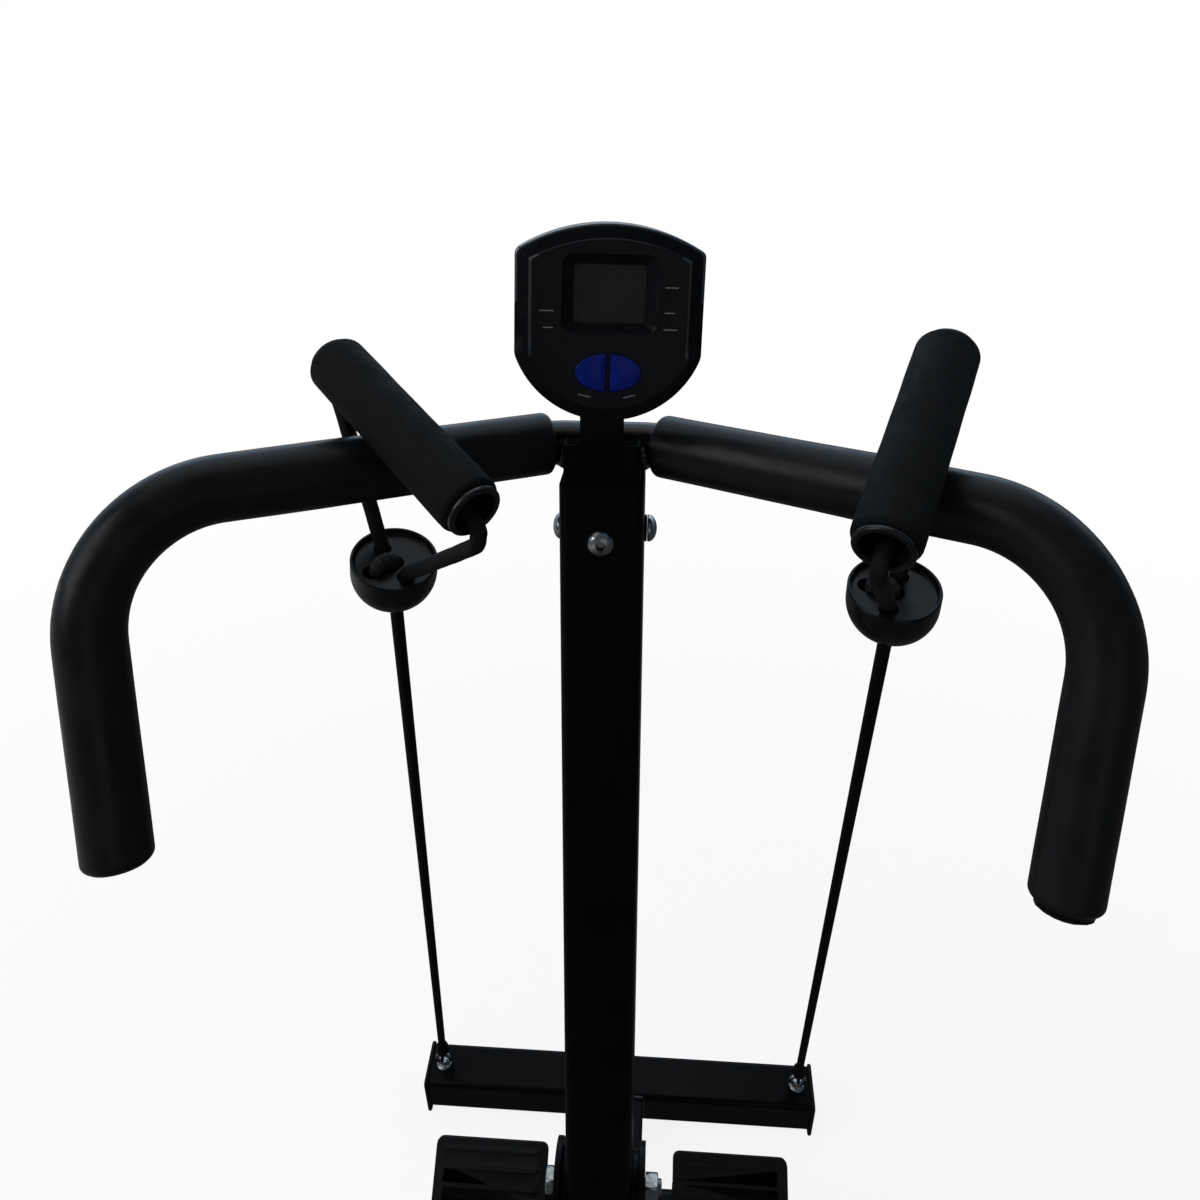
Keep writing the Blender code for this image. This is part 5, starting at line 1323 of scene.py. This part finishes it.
def addBead(name, loop, matrix):
    # a weld seam laid round a closed loop, with a ripple for each bead of the run
    rings, sides = base["beadRings"], base["beadSides"]
    path = np.insert(evenLoop(loop, rings), 2, 0, 1)
    tangents = unit(np.roll(path, -1, 0) - np.roll(path, 1, 0))
    d = runLength(path)
    radii = base["bead"] * (1 + 0.10 * np.abs(np.sin(d * math.pi / base["beadPitch"])) + 0.05 * np.sin(d * 130))
    points = ringTube(path, tangents, radii, sides, (0, 0, 1))
    lofted(name, points, sides, matrix, finishes["weldCoat"], "floor_frame", closedRows=True)


def addCap(name, side, y, replaced):
    # the flange of an end cap that reaches the floor: its back, its rounded rim and a shallow dish in its face
    start = base["length"] / 2 + base["capGap"]
    matrix = frameAt((0, y, 0), (0, side, 0), (0, 0, 1), (side, 0, 0))
    width, top, rr = base["size"] + 2 * base["capLip"], base["capTop"], base["capRound"]
    turn, end = quarter(7), start + base["capThick"]
    inset = np.concatenate([[0.0008, 0.0], rr * (1 - np.cos(turn)), [0.0042, 0.0050, 0.012, 0.020]])
    dish = end - np.array([0, 0.0005, 0.0007, 0.0007])
    level = np.concatenate([[start, start + 0.0006], end - rr + rr * np.sin(turn), dish])
    corners = np.maximum(0.0012, base["capCorner"] - inset)
    curves = [roundRectangle(width - 2 * i, top - 2 * i, r, 8, 0.0007) + [0, top / 2] for i, r in zip(inset, corners)]
    stacked(name, curves, level, matrix, finishes["rubber"], "floor_frame", replaces=[replaced], slot="rubber")


def hexRows(radius, bottom, top, chamfer):
    # a hexagon with its upper corners turned off by a cone: the smaller of the two reaches at each angle
    angle = circle(96)
    flat = radius * math.cos(math.pi / 6) / np.cos(np.mod(angle, math.pi / 3) - math.pi / 6)
    direction = np.stack([np.cos(angle), np.sin(angle)], -1)
    cone = [radius - chamfer * share for share in (0.3, 0, 0, 0.45, 1)]
    levels = [bottom, bottom + chamfer * 0.2, top - chamfer * 0.6, top - chamfer * 0.25, top]
    return [np.minimum(flat, reach)[:, None] * direction for reach in cone], levels


def addPivotBolt(name, place):
    # a hexagon head, its shank with a few turns of thread past the nut, and the nut
    matrix, out, r = crossAxis(place), pivot["outside"], pivot["bolt"]
    back = frameAt(place, (0, 1, 0), (0, 0, -1), (-1, 0, 0))
    zinc = {"finish": finishes["zinc"], "body": "floor_frame", "slot": "zinc"}
    curves, levels = hexRows(pivot["head"], out, out + pivot["headHeight"], pivot["headChamfer"])
    stacked(name + "HexHead", curves, levels, back, replaces=[name + "_pivot_bolt"], **zinc)
    nutEnd, end = out + pivot["nutHeight"], pivot["end"]
    level = np.linspace(nutEnd - 0.002, nutEnd + end - 0.0006, 40)
    thread = [(r - pivot["threadDepth"] * abs((z / pivot["pitch"]) % 1 * 2 - 1), z) for z in level]
    profile = [(r, -out), *thread, (r - 0.0012, nutEnd + end)]
    turned(name + "Shank", profile, 48, matrix, replaces=[name + "_pivot_bolt"], **zinc)
    curves, levels = hexRows(pivot["head"], out, nutEnd, pivot["nutChamfer"])
    inner = [unit(curves[0]) * (r + pivot["gap"])] * 2
    stacked(name + "HexNut", curves + inner, levels + [nutEnd, out], matrix, closedRows=True,
            replaces=[name + "_pivot_nut"], **zinc)


def roundBar(name, radius, reach, place, finish, body, replaced, slot, bore=0.0, edge=0.0008):
    # a bar across the machine with rounded ends, or a tube where it has a bore
    right = [(radius - edge + edge * math.cos(t), reach - edge + edge * math.sin(t)) for t in quarter(6)]
    profile = [(a, -b) for a, b in reversed(right)] + right
    if bore:
        profile += [(bore, reach), (bore, -reach)]
    turned(name, profile, 56, crossAxis(place), finish, body, closedRows=bool(bore), replaces=[replaced], slot=slot)


def alongRail(y):
    # a frame whose z runs forward along the rail
    return frameAt((0, y, base["railMiddle"]), (1, 0, 0), (0, 0, -1), (0, 1, 0))


railSize = [base[k] for k in ("railWidth", "railHeight", "railCorner")]
for word, way in (("front", 1), ("rear", -1)):
    y = way * base["aside"]
    addTube(word + "FloorTube", base["size"], base["size"], base["corner"], base["length"] / 2,
            crossAxis((0, y, base["height"])), word + "_stabilizer")
    addCap(word + "LeftFoot", -1, y, word + "_left_cap")
    addCap(word + "RightFoot", 1, y, word + "_right_cap")
    addBead(word + "RailSeam", roundRectangle(*railSize, 8), alongRail(way * (base["railReach"] - 0.0002)))
addTube("floorRail", *railSize, base["railReach"], alongRail(0), "base_rail")

seatPivot = np.array([0, mastPivot[1], pivot["seatHeight"]])
addPivotBolt("mast", mastPivot)
addPivotBolt("seat", seatPivot)
roundBar("drivePin", pivot["pin"], pivot["pinReach"], mastPivot - postUp * pivot["pinBelow"], finishes["zinc"],
         "mast", "drive_pin", "zinc")
pegs = mastPivot + postForward * pivot["pegForward"] - postUp * pivot["pegBelow"]
roundBar("pedalBar", pivot["peg"], pivot["pegHalf"], pegs, finishes["powderCoat"], "mast", "peg_bar", "paint",
         bore=pivot["peg"] - pivot["pegWall"])
rise, run = math.sin(pivot["leverAngle"]), math.cos(pivot["leverAngle"])
rest = seatPivot + pivot["stopDistance"] * np.array([0, -run, rise]) - pivot["stopOff"] * np.array([0, rise, run])
roundBar("restRoller", pivot["stopRadius"], pivot["stopReach"], rest, finishes["rubber"], "floor_frame", "stop_bar",
         "rubber", edge=pivot["stopEdge"])
for word, side in hands:
    dressed(word + "_pivot_bracket", finishes["powderCoat"], 0.0006)
    dressed(word + "_lever_plate", finishes["powderCoat"], 0.0006)
    dressed(word + "_pedal", finishes["pedalPlastic"], 0.0007, 3)
dressed("seat_lever", finishes["powderCoat"], 0.0005)
dressed("seat_lever_cap", finishes["rubber"], 0.0009, 3)
dressed("saddle_board", finishes["moulded"], 0.0008)
print("floor frame and levers done")

# saddle cushion

saddle = {
    "centre": (0.0, -0.2395, 0.5066), "length": 0.290, "width": 0.250, "nose": 0.150, "inset": 0.0040,
    "side": 0.0440, "crown": 0.0120, "squareness": 0.72,
    "sides": [(-0.0108, 0.0), (-0.0085, 1 / 11), (-0.0040, 0.25), (0.0, 0.55), (-0.0020, 0.85)],  # grow, share of side
    "top": [(0.94, 0.25), (0.84, 0.55), (0.66, 0.82), (0.40, 0.96), (0.15, 1.0)],  # share of the outline, of the crown
    "shoulder": 0.002,
    "voxel": 0.0050, "frames": 20, "pressure": 4.0, "mostMove": 0.0075, "fill": 0.8,
    "around": 360, "seam": 0.0385, "groove": 0.0013, "grooveWidth": 0.0038, "pipe": 0.0021, "pipeIn": 0.0006,
    "stitchIn": 0.0095, "stitchPitch": 0.0048, "stitchHalf": 0.0017, "threadRadius": 0.00045,
}


def saddleLoop(grow=0.0, count=240):
    # a superellipse, wide behind, whose half width eases down towards the nose
    t = circle(720)
    u, v = (np.sign(w) * np.abs(w) ** saddle["squareness"] for w in (np.cos(t), np.sin(t)))
    half = saddle["width"] / 2 + (saddle["nose"] - saddle["width"]) / 2 * eased((v + 1) / 2) + grow
    return evenLoop(np.stack([half * u, (saddle["length"] / 2 + grow) * v], -1), count)


def readPoints(piece, what="co"):
    # the places or the normals of a piece's points
    values = np.empty(len(piece.data.vertices) * 3, np.float32)
    piece.data.vertices.foreach_get(what, values)
    return values.reshape(-1, 3).astype(float)


def setPoints(piece, points):
    piece.data.vertices.foreach_set("co", np.asarray(points, np.float32).ravel())
    piece.data.update()


def settleAbove(piece, points, low):
    # the points take their places, none below the board
    points[:, 2] = np.maximum(points[:, 2], low)
    setPoints(piece, points)


def swollen(piece, low):
    # blown up as cloth: each point moves no further than mostMove, and the underside stays flat on its board
    remesh = piece.modifiers.new("even", "REMESH")
    remesh.mode, remesh.voxel_size = "VOXEL", saddle["voxel"]
    baked(piece)
    before = readPoints(piece)
    cloth = piece.modifiers.new("cloth", "CLOTH")
    cloth.settings.use_pressure = True
    cloth.settings.uniform_pressure_force = saddle["pressure"]
    cloth.settings.effector_weights.gravity = 0
    cloth.point_cache.frame_start, cloth.point_cache.frame_end = 1, saddle["frames"]
    for number in range(1, saddle["frames"] + 1):
        bpy.context.scene.frame_set(number)
    baked(piece)
    bpy.context.scene.frame_set(1)
    shift = readPoints(piece) - before
    far = np.linalg.norm(shift, axis=1, keepdims=True)
    settleAbove(piece, before + shift * np.minimum(1, saddle["mostMove"] / np.maximum(far, 1e-9)), low)
    smooth = piece.modifiers.new("even", "SMOOTH")
    smooth.factor, smooth.iterations = 0.5, 6
    finer = piece.modifiers.new("finer", "SUBSURF")
    finer.levels = finer.render_levels = 1
    baked(piece)
    settleAbove(piece, readPoints(piece), low)


def onSurface(tree, starts, directions):
    # where rays meet the cushion, or the nearest point of it, and which way its surface faces there
    hits = []
    for a, b in zip(starts, directions):
        hit = tree.ray_cast(Vector(a), Vector(b))
        hits.append(hit if hit[0] else tree.find_nearest(Vector(a + b * 0.1)))
    return np.array([h[0][:] for h in hits]), np.array([h[1][:] for h in hits])


def addCushion():
    # stacked outlines up the sides and over the crown, blown up; gives the lines of its seam and of its stitching
    centre, side, inset, around = np.array(saddle["centre"]), saddle["side"], saddle["inset"], saddle["around"]
    curves = [saddleLoop(grow - inset) for grow, _ in saddle["sides"]]
    curves += [saddleLoop(-inset) * share for share, _ in saddle["top"]]
    heights = [side * share for _, share in saddle["sides"]]
    heights += [side - saddle["shoulder"] + saddle["crown"] * share for _, share in saddle["top"]]
    matrix = frameAt(centre, (1, 0, 0), (0, 1, 0), (0, 0, 1))
    pad = stacked("saddleCushion", curves, heights, matrix, finishes["vinyl"], "saddle_lever",
                  replaces=["saddle_pad"], slot="vinyl")
    swollen(pad, centre[2])
    tree = BVHTree.FromObject(pad, bpy.context.evaluated_depsgraph_get())
    loop = saddleLoop(0.02, around)
    inward = unit(np.insert(saddleLoop(-0.05, around) - loop, 2, 0, 1))
    edge, out = onSurface(tree, np.insert(loop, 2, saddle["seam"], 1) + centre, inward)
    above = np.insert(saddleLoop(-saddle["stitchIn"], around), 2, 0.12, 1) + centre
    line, up = onSurface(tree, above, np.tile([0.0, 0.0, -1.0], (around, 1)))
    points, normals = readPoints(pad), readPoints(pad, "normal")
    for path, depth in ((edge, 1.0), (line, 0.8)):  # the seam and the stitching press in
        near = np.full(len(points), math.inf)
        for part in np.array_split(path, 12):
            near = np.minimum(near, np.linalg.norm(points[:, None] - part[None], axis=2).min(1))
        press = saddle["groove"] * depth * np.exp(-(near / saddle["grooveWidth"]) ** 2)
        points = points - normals * press[:, None]
    settleAbove(pad, points, centre[2])
    pad.data.shade_smooth()
    return edge, out, line - up * (saddle["groove"] * 0.75)


def addPiping(edge, out):
    # a round cord along the seam, sunk a little, its line the mean of nine neighbours
    middle = edge - out * saddle["pipeIn"]
    middle = sum(np.roll(middle, k, 0) for k in range(-4, 5)) / 9
    tangents = unit(np.roll(middle, -1, 0) - np.roll(middle, 1, 0))
    points = ringTube(middle, tangents, np.full(len(middle), saddle["pipe"]), 16, (0, 0, 1))
    lofted("saddlePiping", points, 16, np.eye(4), finishes["vinyl"], "saddle_lever", closedRows=True, slot="vinyl")


def addStitches(seam):
    # one short spindle of thread for each stitch, evenly along the line
    run = runLength(np.vstack([seam, seam[:1]]))
    count, rings, sides = int(run[-1] / saddle["stitchPitch"]), 7, 6
    d = np.linspace(0, run[-1], count, endpoint=False)
    centre = np.stack([np.interp(d, run, np.append(seam[:, k], seam[0, k])) for k in range(3)], -1)
    way = unit(np.roll(centre, -1, 0) - np.roll(centre, 1, 0))
    over = unit(np.cross(way, np.cross([0, 0, 1.0], way)))
    across = np.cross(way, over)
    t, angle = np.linspace(0, math.pi, rings)[None, :, None, None], circle(sides)[None, :, None]
    ring = over[:, None] * np.cos(angle) + across[:, None] * np.sin(angle)
    radius = saddle["threadRadius"] * np.maximum(np.sin(t), 0.02)
    points = centre[:, None, None] + way[:, None, None] * (saddle["stitchHalf"] * np.cos(t)) + ring[:, None] * radius
    faces = []
    for first in range(0, count * rings * sides, rings * sides):
        last = first + (rings - 1) * sides
        faces += gridFaces(rings, sides, start=first).tolist()
        faces += [list(range(k, k + sides)) for k in (first, last)]
    faceOutward(meshPiece("saddleStitches", points.reshape(-1, 3), faces, finishes["thread"], "saddle_lever",
                          slot="vinyl"))


edge, out, stitchLine = addCushion()
addPiping(edge, out)
addStitches(stitchLine)
print("saddle done")

# what stays as the CAD has it

plainNodes = {
    "moulded": ["left_bar_plug", "right_bar_plug"],
    "displayGrey": ["display_panel"],
    "glass": ["display_lens"],
    "board": ["circuit_board"],
}
for finish, names in plainNodes.items():
    for name in names:
        slots = nodes[name].material_slots
        for slot in slots:
            slot.material = finishes[finish]
        if not slots:
            nodes[name].data.materials.append(finishes[finish])
print("plain nodes dressed")
